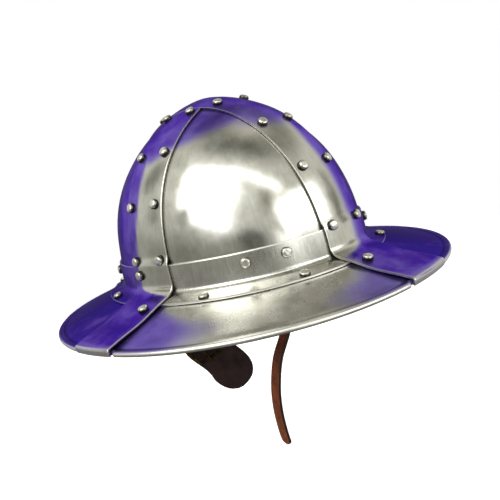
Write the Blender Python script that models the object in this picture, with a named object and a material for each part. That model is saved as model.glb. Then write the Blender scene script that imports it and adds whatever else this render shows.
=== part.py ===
"""A steel kettle hat: a skull of four plates under crossed strips, with a sloping brim and a leather chin strap.

Metres, +Z up, front towards -Y, the wearer's left towards +X. The origin is the centre of the head opening,
at the height where the skull turns outward into the brim.
"""

import math

import bmesh
import bpy
from mathutils import Vector

# Sheet steel, and the gap kept between one sheet and the next
SHEET = 0.0016
GAP = 0.0004
SEAT = 0.0003

# Skull: half sizes of the plates' outer face at the foot, its height, and how full each profile is; the
# plates reach in under the strips, and up to where their corner is this share of the way out from the axis
SKULL_HALF_LENGTH = 0.1162
SKULL_HALF_WIDTH = 0.0940
SKULL_HEIGHT = 0.1380
LENGTH_RISE_POWER = 2.30
LENGTH_OUT_POWER = 1.805
WIDTH_RISE_POWER = 2.93
WIDTH_OUT_POWER = 1.34
SKULL_PLATE_LAP = 0.0168
SKULL_PLATE_CORNER = 0.80
SKULL_ROWS = 8
QUARTER_COLUMNS = 8

# Brim: half sizes over the rolled rim, how far the rim lies below the foot, and the roll
BRIM_HALF_LENGTH = 0.1785
BRIM_HALF_WIDTH = 0.1624
BRIM_DROP = 0.0187
RIM_ROLL_RADIUS = 0.0019
BRIM_BUTT_GAP = 0.0010
BRIM_COLUMNS = 8
BRIM_STATIONS = (0.13, 0.40, 0.70, 0.93)
ROLL_ANGLES = (140.0, 90.0, 40.0, 8.0)

# Strips over the skull, which run on over the brim and fold round the rim. They lie on the brow bands, dip
# to a lower layer past them, and rise again to clear the roll, at these shares of the brim's run
STRIP_WIDTH = 0.0437
STRIP_BEND_RADIUS = 0.0050
STRIP_COLUMNS = 6
STRIP_ROWS = 16
STRIP_STATIONS = (0.25, 0.40, 0.55, 0.75, 0.92)
STEP_DOWN_START = 0.0245
STEP_DOWN_END = 0.0350
BRIM_DIP_LAYER = 1.40
BRIM_DIP_START = 0.25
BRIM_DIP_BOTTOM = 0.55
BRIM_DIP_END = 0.92

# The strips' folded ends: how far they reach past the roll's middle and below the brim's top face, the
# radius of the fold, and how far the roll is set back to lie inside it
FOLD_REACH = 0.0024
FOLD_RADIUS = 0.0026
FOLD_DEPTH = 0.0016
FOLD_ANGLES = (90.0, 45.0, 0.0)
ROLL_SETBACK = 0.0018
ROLL_SETBACK_MARGIN = 0.0005
ROLL_SETBACK_LENGTH = 0.0030

# Brow bands: an upright wall and a flange on the brim, one in each quarter
BROW_HEIGHT = 0.0225
BROW_FLANGE = 0.0150
BROW_BEND_RADIUS = 0.0025
BROW_LAP = 0.0090
BROW_COLUMNS = 12

# Rivets: the head, as rings of radius and height shares, the rows along the strips, at shares of the
# skull's height, and the places on the brow bands and the brim
RIVET_RADIUS = 0.0042
RIVET_HEIGHT = 0.0033
RIVET_SIDES = 8
RIVET_RINGS = ((1.0, 0.0), (0.84, 0.55), (0.46, 0.88))
RIVET_SINK = 0.0004
RIVET_ROW_SPACING = 0.0291
LENGTHWISE_RIVET_SHARES = (0.169, 0.497, 0.761, 0.932)
SIDEWAYS_RIVET_SHARES = (0.194, 0.489, 0.739)
CROWN_RIVET_CLEARANCE = 0.0006
BRIM_RIVET_SHARE = 0.375
BRIM_RIVET_OFFSET = 0.0125
STRAP_HEAD_SHARE = 0.117
BROW_RIVET_HEIGHT = 0.0150
BROW_WALL_RIVET_AZIMUTHS = (31.7, 47.9)
BROW_FLANGE_RIVET_AZIMUTHS = (28.5, 64.5)
BROW_FLANGE_RIVET_SHARE = 0.178

# Straps: leather, each hung inside the skull a little behind the middle
STRAP_THICKNESS = 0.0025
STRAP_GAP = 0.0007
STRAP_WIDTH = 0.0130
BUCKLE_STRAP_WIDTH = 0.0200
STRAP_RIVET_RADIUS = 0.0040
STRAP_RIVET_RISE = 0.0040
STRAP_STEPS = 26

# The chin strap's route: how far in from the wall, how far back of the middle, and how high
CHIN_ROUTE = (
    (0.0000, 0.0120, 0.0100),
    (0.0000, 0.0120, -0.0030),
    (0.0050, 0.0120, -0.0180),
    (0.0140, 0.0120, -0.0380),
    (0.0270, 0.0120, -0.0620),
    (0.0440, 0.0120, -0.0890),
    (0.0640, 0.0120, -0.1100),
    (0.0755, 0.0120, -0.1330),
    (0.0803, 0.0120, -0.1540),
    (0.0810, 0.0120, -0.1750),
    (0.0795, 0.0120, -0.1925),
)

# The buckle strap's route, given the same way
BUCKLE_ROUTE = (
    (0.0000, 0.0120, 0.0100),
    (0.0000, 0.0120, -0.0030),
    (0.0050, 0.0105, -0.0180),
    (0.0140, 0.0060, -0.0380),
    (0.0250, 0.0000, -0.0580),
    (0.0370, -0.0080, -0.0790),
    (0.0465, -0.0145, -0.0950),
)

# The buckle strap ends in a wide round flap: its width, and where the strap starts to spread
FLAP_WIDTH = 0.0350
FLAP_START = 0.52
FLAP_SPREAD = 0.24
FLAP_TURN = 32.0

# Where along a strap its turn starts, and over how much of its length it turns, as shares
TURN_START = 0.15
TURN_LENGTH = 0.30

# Buckle: a round-cornered wire frame on a folded leather tab, with a tongue across it
BUCKLE_FRAME_WIDTH = 0.0290
BUCKLE_FRAME_LENGTH = 0.0200
BUCKLE_WIRE_RADIUS = 0.0015
BUCKLE_CORNER_RADIUS = 0.0040
BUCKLE_STATION = 0.60
TAB_WIDTH = 0.0180
TAB_THICKNESS = 0.0018
TAB_LENGTH = 0.0130
TAB_GAP = 0.0007
TONGUE_WIDTH = 0.0024
TONGUE_THICKNESS = 0.0018
TONGUE_TAPER = (1.0, 0.9, 0.8, 0.6)
TONGUE_REST = 0.0036

# The sides in turn, each a quarter turn about Z on from the last, the two that the long strip crosses,
# and the quarters between them
SIDES = ("front", "left", "back", "right")
LENGTHWISE = ("front", "back")
QUARTERS = ("front_right", "front_left", "rear_left", "rear_right")

# How often a search halves the range it looks in
HALVINGS = 50

STEEL = ((0.62, 0.62, 0.58), 1.0, 0.22)
RIVET_STEEL = ((0.70, 0.69, 0.64), 1.0, 0.25)
RED_LEATHER = ((0.16, 0.045, 0.02), 0.0, 0.50)
DARK_LEATHER = ((0.020, 0.010, 0.009), 0.0, 0.45)
BRASS = ((0.55, 0.40, 0.14), 1.0, 0.30)


def clear_scene():
    for item in list(bpy.data.objects):
        bpy.data.objects.remove(item, do_unlink=True)


def material(name, finish):
    """One Principled material with a colour, a metallic value and a roughness."""
    colour, metallic, roughness = finish
    made = bpy.data.materials.new(name)
    made.use_nodes = True
    shader = made.node_tree.nodes["Principled BSDF"]
    shader.inputs["Base Color"].default_value = (*colour, 1.0)
    shader.inputs["Metallic"].default_value = metallic
    shader.inputs["Roughness"].default_value = roughness
    return made


def add_object(name, body, finish):
    """An object made from a bmesh, with its faces pointing outward."""
    bmesh.ops.recalc_face_normals(body, faces=body.faces)
    mesh = bpy.data.meshes.new(name)
    body.to_mesh(mesh)
    body.free()
    mesh.shade_smooth()
    mesh.set_sharp_from_angle(angle=math.radians(40.0))
    item = bpy.data.objects.new(name, mesh)
    bpy.context.scene.collection.objects.link(item)
    mesh.materials.append(material(name + "_finish", finish))
    return item


def sheet(name, outer, inner, finish):
    """A closed wall between two grids of points with as many rows and columns."""
    body = bmesh.new()
    faces = [[[body.verts.new(point) for point in row] for row in grid] for grid in (outer, inner)]
    rows = len(outer)
    columns = len(outer[0])
    for grid in faces:
        for r in range(rows - 1):
            for c in range(columns - 1):
                body.faces.new((grid[r][c], grid[r][c + 1], grid[r + 1][c + 1], grid[r + 1][c]))
    over, under = faces
    rim = [(0, c) for c in range(columns)]
    rim += [(r, columns - 1) for r in range(1, rows)]
    rim += [(rows - 1, c) for c in range(columns - 2, -1, -1)]
    rim += [(r, 0) for r in range(rows - 2, 0, -1)]
    for (r, c), (s, d) in zip(rim, rim[1:] + rim[:1]):
        body.faces.new((over[r][c], over[s][d], under[s][d], under[r][c]))
    return add_object(name, body, finish)


def skull_half(height, lengthwise):
    """Half the skull's length or width at a height."""
    share = min(max(height / SKULL_HEIGHT, 0.0), 1.0)
    if lengthwise:
        return SKULL_HALF_LENGTH * (1.0 - share**LENGTH_RISE_POWER) ** (1.0 / LENGTH_OUT_POWER)
    return SKULL_HALF_WIDTH * (1.0 - share**WIDTH_RISE_POWER) ** (1.0 / WIDTH_OUT_POWER)


def skull_normal(point):
    """The outward direction of the skull at a point on it."""
    step = SKULL_HEIGHT * 1e-4
    height = min(point.z, SKULL_HEIGHT - step - step)
    long = skull_half(height, True)
    wide = skull_half(height, False)
    long_slope = (skull_half(height + step, True) - long) / step
    wide_slope = (skull_half(height + step, False) - wide) / step
    rise = -(point.x**2) * wide_slope / wide**3 - point.y**2 * long_slope / long**3
    return Vector((point.x / wide**2, point.y / long**2, rise)).normalized()


def turned(point, side):
    """A point given as across, outward and up on one side of the hat, put in the hat's own frame."""
    across, outward, up = point
    x, y = across, -outward
    for _ in range(SIDES.index(side)):
        x, y = -y, x
    return Vector((x, y, up))


def skull_at_height(side, across, height):
    """The skull's point at a height, at a distance across from the middle of one side."""
    lengthwise = side in LENGTHWISE
    outward = skull_half(height, lengthwise)
    sideways = skull_half(height, not lengthwise)
    return turned((across, outward * math.sqrt(1.0 - (across / sideways) ** 2), height), side)


def skull_at_angle(side, across, angle):
    """The skull's point where a ray rises at an angle from the foot's level, at a distance across."""
    lengthwise = side in LENGTHWISE
    near = 0.0
    far = 2.0 * max(SKULL_HEIGHT, SKULL_HALF_LENGTH)
    for _ in range(HALVINGS):
        reach = (near + far) / 2.0
        height = reach * math.sin(angle)
        outward = skull_half(height, lengthwise)
        sideways = skull_half(height, not lengthwise)
        if height < SKULL_HEIGHT and sideways > abs(across) and outward > 0.0:
            inside = (across / sideways) ** 2 + (reach * math.cos(angle) / outward) ** 2 < 1.0
        else:
            inside = False
        if inside:
            near = reach
        else:
            far = reach
    return turned((across, near * math.cos(angle), near * math.sin(angle)), side)


def brim_halves(share):
    """Half the length and width of the brim's ring at a share of the way from the foot to the roll."""
    long = SKULL_HALF_LENGTH + (BRIM_HALF_LENGTH - RIM_ROLL_RADIUS - SKULL_HALF_LENGTH) * share
    wide = SKULL_HALF_WIDTH + (BRIM_HALF_WIDTH - RIM_ROLL_RADIUS - SKULL_HALF_WIDTH) * share
    return long, wide


def brim_normal(point, share):
    """The upward direction of the brim's top face at a point on it."""
    long, wide = brim_halves(share)
    long_run = BRIM_HALF_LENGTH - RIM_ROLL_RADIUS - SKULL_HALF_LENGTH
    wide_run = BRIM_HALF_WIDTH - RIM_ROLL_RADIUS - SKULL_HALF_WIDTH
    spread = point.x**2 * wide_run / wide**3 + point.y**2 * long_run / long**3
    slope_x = BRIM_DROP * point.x / wide**2 / spread
    slope_y = BRIM_DROP * point.y / long**2 / spread
    return Vector((slope_x, slope_y, 1.0)).normalized()


def brim_at_share(side, across, share):
    """The brim's point at a share of the way out, at a distance across from the middle of one side."""
    long, wide = brim_halves(share)
    outward, sideways = (long, wide) if side in LENGTHWISE else (wide, long)
    return turned((across, outward * math.sqrt(1.0 - (across / sideways) ** 2), -BRIM_DROP * share), side)


def share_of(distance):
    """The share of the brim's lengthwise run that a distance is."""
    return distance / (BRIM_HALF_LENGTH - RIM_ROLL_RADIUS - SKULL_HALF_LENGTH)


def inner_edge_share():
    """How far inside the foot, as a share of the brim's run, the brim's inner edge meets the plates' inner face."""
    return SHEET / (BRIM_HALF_WIDTH - RIM_ROLL_RADIUS - SKULL_HALF_WIDTH)


def layer_lift(layer, face):
    """How far a face of a layer of sheet lies above the plates' outer face; face 0 is under, 1 is over."""
    return layer * (SHEET + GAP) - SHEET * (1 - face)


def curve_point(start, corner, end, t):
    """A point on the round turn between two straight runs that would meet at the corner."""
    return start * (1 - t) ** 2 + corner * 2 * t * (1 - t) + end * t**2


def smooth_step(value):
    value = min(max(value, 0.0), 1.0)
    return value * value * (3.0 - 2.0 * value)


def quarter_azimuth(long, wide, margin, t):
    """The azimuth from the front, a share t of the way between two edges that keep a margin to the strips."""
    start = math.asin(min(margin / wide, 0.7))
    end = math.acos(min(margin / long, 0.7))
    return start + (end - start) * t


def quarter_point(quarter, long, wide, azimuth, height):
    sign_x = -1.0 if quarter.endswith("right") else 1.0
    sign_y = -1.0 if quarter.startswith("front") else 1.0
    return Vector((sign_x * wide * math.sin(azimuth), sign_y * long * math.cos(azimuth), height))


def skull_plate(quarter):
    """A quarter of the skull, from the brim up to the crossing of the strips."""
    margin = STRIP_WIDTH / 2 - SKULL_PLATE_LAP
    foot = BRIM_DROP * inner_edge_share() + SEAT
    low = 0.0
    high = SKULL_HEIGHT
    for _ in range(HALVINGS):
        middle = (low + high) / 2
        corner = math.hypot(
            margin / max(skull_half(middle, True), 1e-6), margin / max(skull_half(middle, False), 1e-6)
        )
        if corner < SKULL_PLATE_CORNER:
            low = middle
        else:
            high = middle
    outer = []
    inner = []
    for r in range(SKULL_ROWS + 1):
        turn = r / SKULL_ROWS
        height = foot + (low - foot) * math.sin(turn * math.pi / 2)
        long = skull_half(height, True)
        wide = skull_half(height, False)
        outer_row = []
        inner_row = []
        for c in range(QUARTER_COLUMNS + 1):
            azimuth = quarter_azimuth(long, wide, margin, c / QUARTER_COLUMNS)
            point = quarter_point(quarter, long, wide, azimuth, height)
            outer_row.append(point)
            inner_row.append(point - skull_normal(point) * SHEET)
        outer.append(outer_row)
        inner.append(inner_row)
    for c in range(QUARTER_COLUMNS + 1):
        inner[0][c].z = outer[0][c].z
    return sheet("skull_plate_" + quarter, outer, inner, STEEL)


def brim_point(quarter, share, t, margin, lift):
    """A point on the brim of one quarter, raised from its top face."""
    long, wide = brim_halves(share)
    azimuth = quarter_azimuth(long, wide, margin, t)
    point = quarter_point(quarter, long, wide, azimuth, -BRIM_DROP * share)
    return point + brim_normal(point, share) * lift


def outward_along(up):
    """The outward direction at right angles to the brim's upward one."""
    outward = Vector((up.x, up.y, 0.0)).normalized()
    return (outward - up * outward.dot(up)).normalized()


def roll_point(quarter, t, margin, radius, angle):
    """A point round the rolled rim, at an angle that is 0 outward and 90 up, set back under the strips."""
    centre = brim_point(quarter, 1.0, t, margin, -SHEET / 2)
    up = brim_normal(centre, 1.0)
    clear = min(abs(centre.x), abs(centre.y)) - STRIP_WIDTH / 2 - ROLL_SETBACK_MARGIN
    setback = ROLL_SETBACK * (1.0 - smooth_step(clear / ROLL_SETBACK_LENGTH))
    turn = math.radians(angle)
    return centre + outward_along(up) * (radius * math.cos(turn) - setback) + up * radius * math.sin(turn)


def brim_columns(margin):
    """The shares round a quarter at which the brim's lines run, closer together by the strips' edges."""
    long, wide = brim_halves(1.0)
    first = math.asin(margin / wide)
    last = math.acos(margin / long)
    near = []
    far = []
    for reach in (ROLL_SETBACK_MARGIN, ROLL_SETBACK_MARGIN + ROLL_SETBACK_LENGTH):
        edge = STRIP_WIDTH / 2 + reach
        near.append((math.asin(edge / wide) - first) / (last - first))
        far.append((math.acos(edge / long) - first) / (last - first))
    between = [near[1] + (far[1] - near[1]) * k / BRIM_COLUMNS for k in range(1, BRIM_COLUMNS)]
    return [0.0, near[0], near[1], *between, far[1], far[0], 1.0]


def brim_plate(quarter):
    """A quarter of the brim, with its edge rolled."""
    margin = BRIM_BUTT_GAP / 2
    columns = brim_columns(margin)
    outer = []
    inner = []
    for share in (-inner_edge_share(), *BRIM_STATIONS):
        outer.append([brim_point(quarter, share, t, margin, 0.0) for t in columns])
        inner.append([brim_point(quarter, share, t, margin, -SHEET) for t in columns])
    for edge, under in zip(outer[0], inner[0]):
        under.x = edge.x
        under.y = edge.y
    for angle in ROLL_ANGLES:
        outer.append([roll_point(quarter, t, margin, RIM_ROLL_RADIUS, angle) for t in columns])
        inner.append([roll_point(quarter, t, margin, RIM_ROLL_RADIUS, -angle) for t in columns])
    return sheet("brim_plate_" + quarter, outer, inner, STEEL)


def brow_point(quarter, station, t, face):
    """A point of a brow band's section: stations count from the top of the wall to the flange's edge."""
    margin = STRIP_WIDTH / 2 - BROW_LAP
    lift = layer_lift(1, face)
    turn_reach = layer_lift(1, 1) + BROW_BEND_RADIUS

    def wall(height):
        long = skull_half(height, True)
        wide = skull_half(height, False)
        point = quarter_point(quarter, long, wide, quarter_azimuth(long, wide, margin, t), height)
        return point + skull_normal(point) * lift

    if station < 3:
        return wall((BROW_HEIGHT, (BROW_HEIGHT + turn_reach) / 2, turn_reach)[station])
    turn_share = share_of(turn_reach)
    if station > 5:
        share = turn_share + (share_of(BROW_FLANGE) - turn_share) * (station - 6)
        return brim_point(quarter, share, t, margin, lift)
    start = wall(turn_reach)
    end = brim_point(quarter, turn_share, t, margin, lift)
    foot = wall(0.0)
    corner = Vector((foot.x, foot.y, lift))
    return curve_point(start, corner, end, (station - 2) / 4)


def brow_band(quarter):
    """An L-shaped band round the foot of one quarter, with its four rivets."""
    columns = [c / BROW_COLUMNS for c in range(BROW_COLUMNS + 1)]
    outer = [[brow_point(quarter, s, t, 1) for t in columns] for s in range(8)]
    inner = [[brow_point(quarter, s, t, 0) for t in columns] for s in range(8)]
    band = sheet("brow_band_" + quarter, outer, inner, STEEL)
    lift = layer_lift(1, 1) - RIVET_SINK
    heads = []
    for azimuth in BROW_WALL_RIVET_AZIMUTHS:
        long = skull_half(BROW_RIVET_HEIGHT, True)
        wide = skull_half(BROW_RIVET_HEIGHT, False)
        point = quarter_point(quarter, long, wide, math.radians(azimuth), BROW_RIVET_HEIGHT)
        normal = skull_normal(point)
        heads.append((point + normal * lift, normal))
    for azimuth in BROW_FLANGE_RIVET_AZIMUTHS:
        long, wide = brim_halves(BROW_FLANGE_RIVET_SHARE)
        height = -BRIM_DROP * BROW_FLANGE_RIVET_SHARE
        point = quarter_point(quarter, long, wide, math.radians(azimuth), height)
        normal = brim_normal(point, BROW_FLANGE_RIVET_SHARE)
        heads.append((point + normal * lift, normal))
    for number, (point, normal) in enumerate(heads, 1):
        head = rivet(f"brow_rivet_{quarter}_{number}", point, normal, RIVET_RADIUS, RIVET_SINK)
        head.hide_render = True
        head.display_type = "WIRE"
        join = band.modifiers.new(head.name, "BOOLEAN")
        join.operation = "UNION"
        join.object = head
    return band


def rivet(name, point, normal, radius, sink=0.0):
    """A domed rivet head whose flat underside lies at a point and faces against a direction."""
    body = bmesh.new()
    rotation = normal.to_track_quat("Z", "Y").to_matrix()
    height = RIVET_HEIGHT * radius / RIVET_RADIUS
    made = []
    for share, rise in RIVET_RINGS:
        ring = []
        for k in range(RIVET_SIDES):
            turn = 2.0 * math.pi * k / RIVET_SIDES
            lift = rise * height + (sink if rise else 0.0)
            local = Vector((radius * share * math.cos(turn), radius * share * math.sin(turn), lift))
            ring.append(body.verts.new(point + rotation @ local))
        made.append(ring)
    body.faces.new(made[0])
    for low, high in zip(made, made[1:]):
        for k in range(RIVET_SIDES):
            n = (k + 1) % RIVET_SIDES
            body.faces.new((low[k], low[n], high[n], high[k]))
    top = body.verts.new(point + rotation @ Vector((0.0, 0.0, height + sink)))
    for k in range(RIVET_SIDES):
        body.faces.new((made[-1][k], made[-1][(k + 1) % RIVET_SIDES], top))
    return add_object(name, body, RIVET_STEEL)


def strip_lift(point, face):
    """A strip's lift at a point of the skull: over the brow bands, and down on the plates above them."""
    layer = 2.0 - smooth_step((point.z - STEP_DOWN_START) / (STEP_DOWN_END - STEP_DOWN_START))
    return layer_lift(layer, face)


def brim_lift(share, face):
    """A strip's lift over the brim: on the brow bands' flanges, dipping past them, and up to the roll."""
    dip = smooth_step((share - BRIM_DIP_START) / (BRIM_DIP_BOTTOM - BRIM_DIP_START))
    rise = smooth_step((share - BRIM_DIP_BOTTOM) / (BRIM_DIP_END - BRIM_DIP_BOTTOM))
    return layer_lift(2.0 - (2.0 - BRIM_DIP_LAYER) * (dip - rise), face)


def strip_line(side, across, face):
    """The points of a strip from near the crown to its folded end, at a distance across, on one face."""
    turn_reach = layer_lift(2, 1) + STRIP_BEND_RADIUS
    bottom = skull_at_height(side, across, turn_reach)
    bottom_out = math.hypot(bottom.x, bottom.y)
    outward = math.sqrt(bottom_out**2 - across**2)
    low_angle = math.atan2(turn_reach, outward)
    top_angle = math.pi / 2
    if side not in LENGTHWISE:
        top_angle = crown_angle(side, across)
    points = []
    for r in range(STRIP_ROWS, -1, -1):
        angle = low_angle + (top_angle - low_angle) * r / STRIP_ROWS
        point = skull_at_angle(side, across, angle)
        points.append(point + skull_normal(point) * strip_lift(point, face))
    lift = layer_lift(2, face)
    start = points[-1]
    turn_share = share_of(turn_reach)
    turn_end = brim_at_share(side, across, turn_share)
    end = turn_end + brim_normal(turn_end, turn_share) * lift
    foot = skull_at_height(side, across, 0.0)
    foot = foot + skull_normal(foot) * lift
    corner = Vector((foot.x, foot.y, lift))
    for t in (0.25, 0.5, 0.75):
        points.append(curve_point(start, corner, end, t))
    points.append(end)
    for share in STRIP_STATIONS:
        point = brim_at_share(side, across, share)
        points.append(point + brim_normal(point, share) * brim_lift(share, face))
    edge = brim_at_share(side, across, 1.0)
    up = brim_normal(edge, 1.0)
    outward = outward_along(up)
    inset = SHEET * (1 - face)
    radius = FOLD_RADIUS - inset
    centre = edge + outward * (FOLD_REACH - FOLD_RADIUS) + up * (layer_lift(2, 1) - FOLD_RADIUS)
    for angle in FOLD_ANGLES:
        turn = math.radians(angle)
        points.append(centre + outward * radius * math.cos(turn) + up * radius * math.sin(turn))
    points.append(edge + outward * (FOLD_REACH - inset) - up * FOLD_DEPTH)
    return points


def crown_angle(side, across):
    """The angle at which a side strip ends, just short of the long strip's edge."""
    reach = STRIP_WIDTH / 2 + GAP
    low = 0.0
    high = math.pi / 2
    for _ in range(HALVINGS):
        middle = (low + high) / 2
        if abs(skull_at_angle(side, across, middle).x) > reach:
            low = middle
        else:
            high = middle
    return low


def strip_columns():
    """The distances across a strip at which its lines run."""
    return [STRIP_WIDTH * (c / STRIP_COLUMNS - 0.5) for c in range(STRIP_COLUMNS + 1)]


def side_strip(side):
    outer = [strip_line(side, across, 1) for across in strip_columns()]
    inner = [strip_line(side, across, 0) for across in strip_columns()]
    return sheet("side_band_" + side, outer, inner, STEEL)


def fore_aft_strip():
    """The long strip, from the front rim over the crown to the back rim."""
    grids = []
    for face in (1, 0):
        grid = []
        for across in strip_columns():
            front = strip_line("front", across, face)
            back = strip_line("back", -across, face)
            grid.append(front[::-1] + back[1:])
        grids.append(grid)
    return sheet("fore_aft_band", grids[0], grids[1], STEEL)


def crown_rivet_height(side):
    """The height at which a rivet on a side strip just clears the edge of the long strip."""
    reach = STRIP_WIDTH / 2 + RIVET_RADIUS + CROWN_RIVET_CLEARANCE
    low = 0.0
    high = SKULL_HEIGHT
    for _ in range(HALVINGS):
        middle = (low + high) / 2
        sideways = skull_half(middle, True)
        inside = sideways > RIVET_ROW_SPACING / 2
        if inside and abs(skull_at_height(side, RIVET_ROW_SPACING / 2, middle).x) > reach:
            low = middle
        else:
            high = middle
    return low


def strip_rivets(side):
    """The pairs of rivets up one side's strip, the one on its brim end, and the strap's outer head."""
    shares = LENGTHWISE_RIVET_SHARES if side in LENGTHWISE else SIDEWAYS_RIVET_SHARES
    heights = [share * SKULL_HEIGHT for share in shares]
    if side not in LENGTHWISE:
        heights.append(crown_rivet_height(side))
    for number, height in enumerate(heights, 1):
        for hand, sign in (("a", -1), ("b", 1)):
            point = skull_at_height(side, sign * RIVET_ROW_SPACING / 2, height)
            normal = skull_normal(point)
            lift = strip_lift(point, 1) + SEAT
            rivet(f"{side}_rivet_{number}{hand}", point + normal * lift, normal, RIVET_RADIUS)
    offset = -BRIM_RIVET_OFFSET if side in LENGTHWISE else BRIM_RIVET_OFFSET
    point = brim_at_share(side, offset, BRIM_RIVET_SHARE)
    normal = brim_normal(point, BRIM_RIVET_SHARE)
    lift = brim_lift(BRIM_RIVET_SHARE - share_of(RIVET_RADIUS), 1) + SEAT
    rivet(f"{side}_rivet_brim", point + normal * lift, normal, RIVET_RADIUS)
    if side not in LENGTHWISE:
        root = CHIN_ROUTE[0][1]
        point = skull_at_height(side, root if side == "left" else -root, STRAP_HEAD_SHARE * SKULL_HEIGHT)
        normal = skull_normal(point)
        lift = strip_lift(point, 1) + SEAT
        rivet(f"{side}_rivet_strap", point + normal * lift, normal, RIVET_RADIUS)


def smooth_route(route, steps):
    """Points along a smooth curve through a route's own points."""
    points = [Vector(point) for point in route]
    ends = [points[0] * 2 - points[1], *points, points[-1] * 2 - points[-2]]
    made = []
    spans = len(points) - 1
    for k in range(steps + 1):
        place = min(k * spans / steps, spans - 1e-9)
        span = int(place)
        t = place - span
        a, b, c, d = ends[span : span + 4]
        made.append(
            (b * 2 + (c - a) * t + (a * 2 - b * 5 + c * 4 - d) * t**2 + (b * 3 - a - c * 3 + d) * t**3) / 2
        )
    return made


def strap_wall(route, width):
    """How far from the middle plane a strap's back lies, flat against the inside of the curved wall."""
    edge = route[0][1] + width / 2
    return SKULL_HALF_WIDTH * math.sqrt(1.0 - (edge / SKULL_HALF_LENGTH) ** 2) - SHEET - STRAP_GAP


def strap_frames(route, sign, root_width, turn):
    """Places along a strap, each with its direction, its width's direction and its face's direction."""
    wall = strap_wall(route, root_width) - STRAP_THICKNESS / 2
    points = [Vector((sign * (wall - p.x), p.y, p.z)) for p in smooth_route(route, STRAP_STEPS)]
    frames = []
    for k, point in enumerate(points):
        ahead = points[min(k + 1, len(points) - 1)]
        behind = points[max(k - 1, 0)]
        along = (ahead - behind).normalized()
        angle = math.radians(turn) * smooth_step((k / STRAP_STEPS - TURN_START) / TURN_LENGTH)
        width = Vector((sign * math.sin(angle), math.cos(angle), 0.0))
        width = (width - along * width.dot(along)).normalized()
        frames.append((point, along, width, width.cross(along).normalized()))
    return frames


def strap(name, frames, half_width, finish):
    """A flat strap along its frames, whose half width is a function of the share of its length."""
    grids = []
    for face in (0.5, -0.5):
        grid = []
        for k, (point, _, width, normal) in enumerate(frames):
            half = half_width(k / STRAP_STEPS)
            middle = point + normal * STRAP_THICKNESS * face
            grid.append([middle + width * half * across for across in (-1.0, 0.0, 1.0)])
        grids.append(grid)
    return sheet(name, grids[0], grids[1], finish)


def round_end(share, length, radius):
    """How much of its width a strap keeps near a round end of a radius."""
    left = (1.0 - share) * length
    if left >= radius:
        return 1.0
    return math.sqrt(max(1.0 - (1.0 - left / radius) ** 2, 0.04))


def route_length(frames):
    return sum((b[0] - a[0]).length for a, b in zip(frames, frames[1:]))


def chin_strap():
    frames = strap_frames(CHIN_ROUTE, 1, STRAP_WIDTH, 0.0)
    length = route_length(frames)

    def half_width(share):
        return STRAP_WIDTH / 2 * round_end(share, length, STRAP_WIDTH / 2)

    strap("chin_strap", frames, half_width, RED_LEATHER)
    strap_rivet("chin_strap_rivet", CHIN_ROUTE, STRAP_WIDTH, 1)


def strap_rivet(name, route, width, sign):
    """The rivet that holds a strap to the wall, its head on the strap's inner face."""
    reach = strap_wall(route, width) - STRAP_THICKNESS - SEAT
    point = Vector((sign * reach, route[0][1], STRAP_RIVET_RISE))
    rivet(name, point, Vector((-sign, 0.0, 0.0)), STRAP_RIVET_RADIUS)


def buckle_strap():
    """The short strap, its flap, and the buckle on it."""
    frames = strap_frames(BUCKLE_ROUTE, -1, BUCKLE_STRAP_WIDTH, FLAP_TURN)
    length = route_length(frames)

    def half_width(share):
        spread = smooth_step((share - FLAP_START) / FLAP_SPREAD)
        half = BUCKLE_STRAP_WIDTH / 2 + (FLAP_WIDTH - BUCKLE_STRAP_WIDTH) / 2 * spread
        return half * round_end(share, length, FLAP_WIDTH / 2)

    strap("buckle_strap", frames, half_width, DARK_LEATHER)
    strap_rivet("buckle_strap_rivet", BUCKLE_ROUTE, BUCKLE_STRAP_WIDTH, -1)
    buckle(frames[round(BUCKLE_STATION * STRAP_STEPS)])


def buckle(frame):
    """The buckle's frame, tongue and tab, on the outer face of the flap."""
    point, along, width, normal = frame
    if normal.y > 0.0:
        normal = -normal
    tab_under = STRAP_THICKNESS / 2 + TAB_GAP
    bar_height = tab_under + TAB_THICKNESS + SEAT + BUCKLE_WIRE_RADIUS

    def place(across, down, out):
        return point + width * across + along * down + normal * out

    wire_ring("buckle_frame", place, bar_height)
    tab(place, tab_under, bar_height)
    tongue(place, bar_height)


def wire_ring(name, place, height):
    """A round-cornered loop of wire, its nearer bar on the strap's station."""
    body = bmesh.new()
    sides = 6
    half_width = BUCKLE_FRAME_WIDTH / 2 - BUCKLE_WIRE_RADIUS
    half_length = BUCKLE_FRAME_LENGTH / 2 - BUCKLE_WIRE_RADIUS
    corner = BUCKLE_CORNER_RADIUS
    path = []
    for k in range(4):
        sign_x = (1, -1, -1, 1)[k]
        sign_y = (1, 1, -1, -1)[k]
        for j in range(3):
            turn = math.radians(90.0 * k + 45.0 * j)
            outward = Vector((math.cos(turn), math.sin(turn)))
            centre = Vector((sign_x * (half_width - corner), sign_y * (half_length - corner)))
            path.append((centre + outward * corner, outward))
    rings = []
    for centre, outward in path:
        ring = []
        for s in range(sides):
            turn = 2.0 * math.pi * s / sides
            off = outward * BUCKLE_WIRE_RADIUS * math.cos(turn)
            down = half_length + centre.y + off.y
            lift = height + BUCKLE_WIRE_RADIUS * math.sin(turn)
            ring.append(body.verts.new(place(centre.x + off.x, down, lift)))
        rings.append(ring)
    for low, high in zip(rings, rings[1:] + rings[:1]):
        for s in range(sides):
            n = (s + 1) % sides
            body.faces.new((low[s], low[n], high[n], high[s]))
    return add_object(name, body, BRASS)


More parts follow.
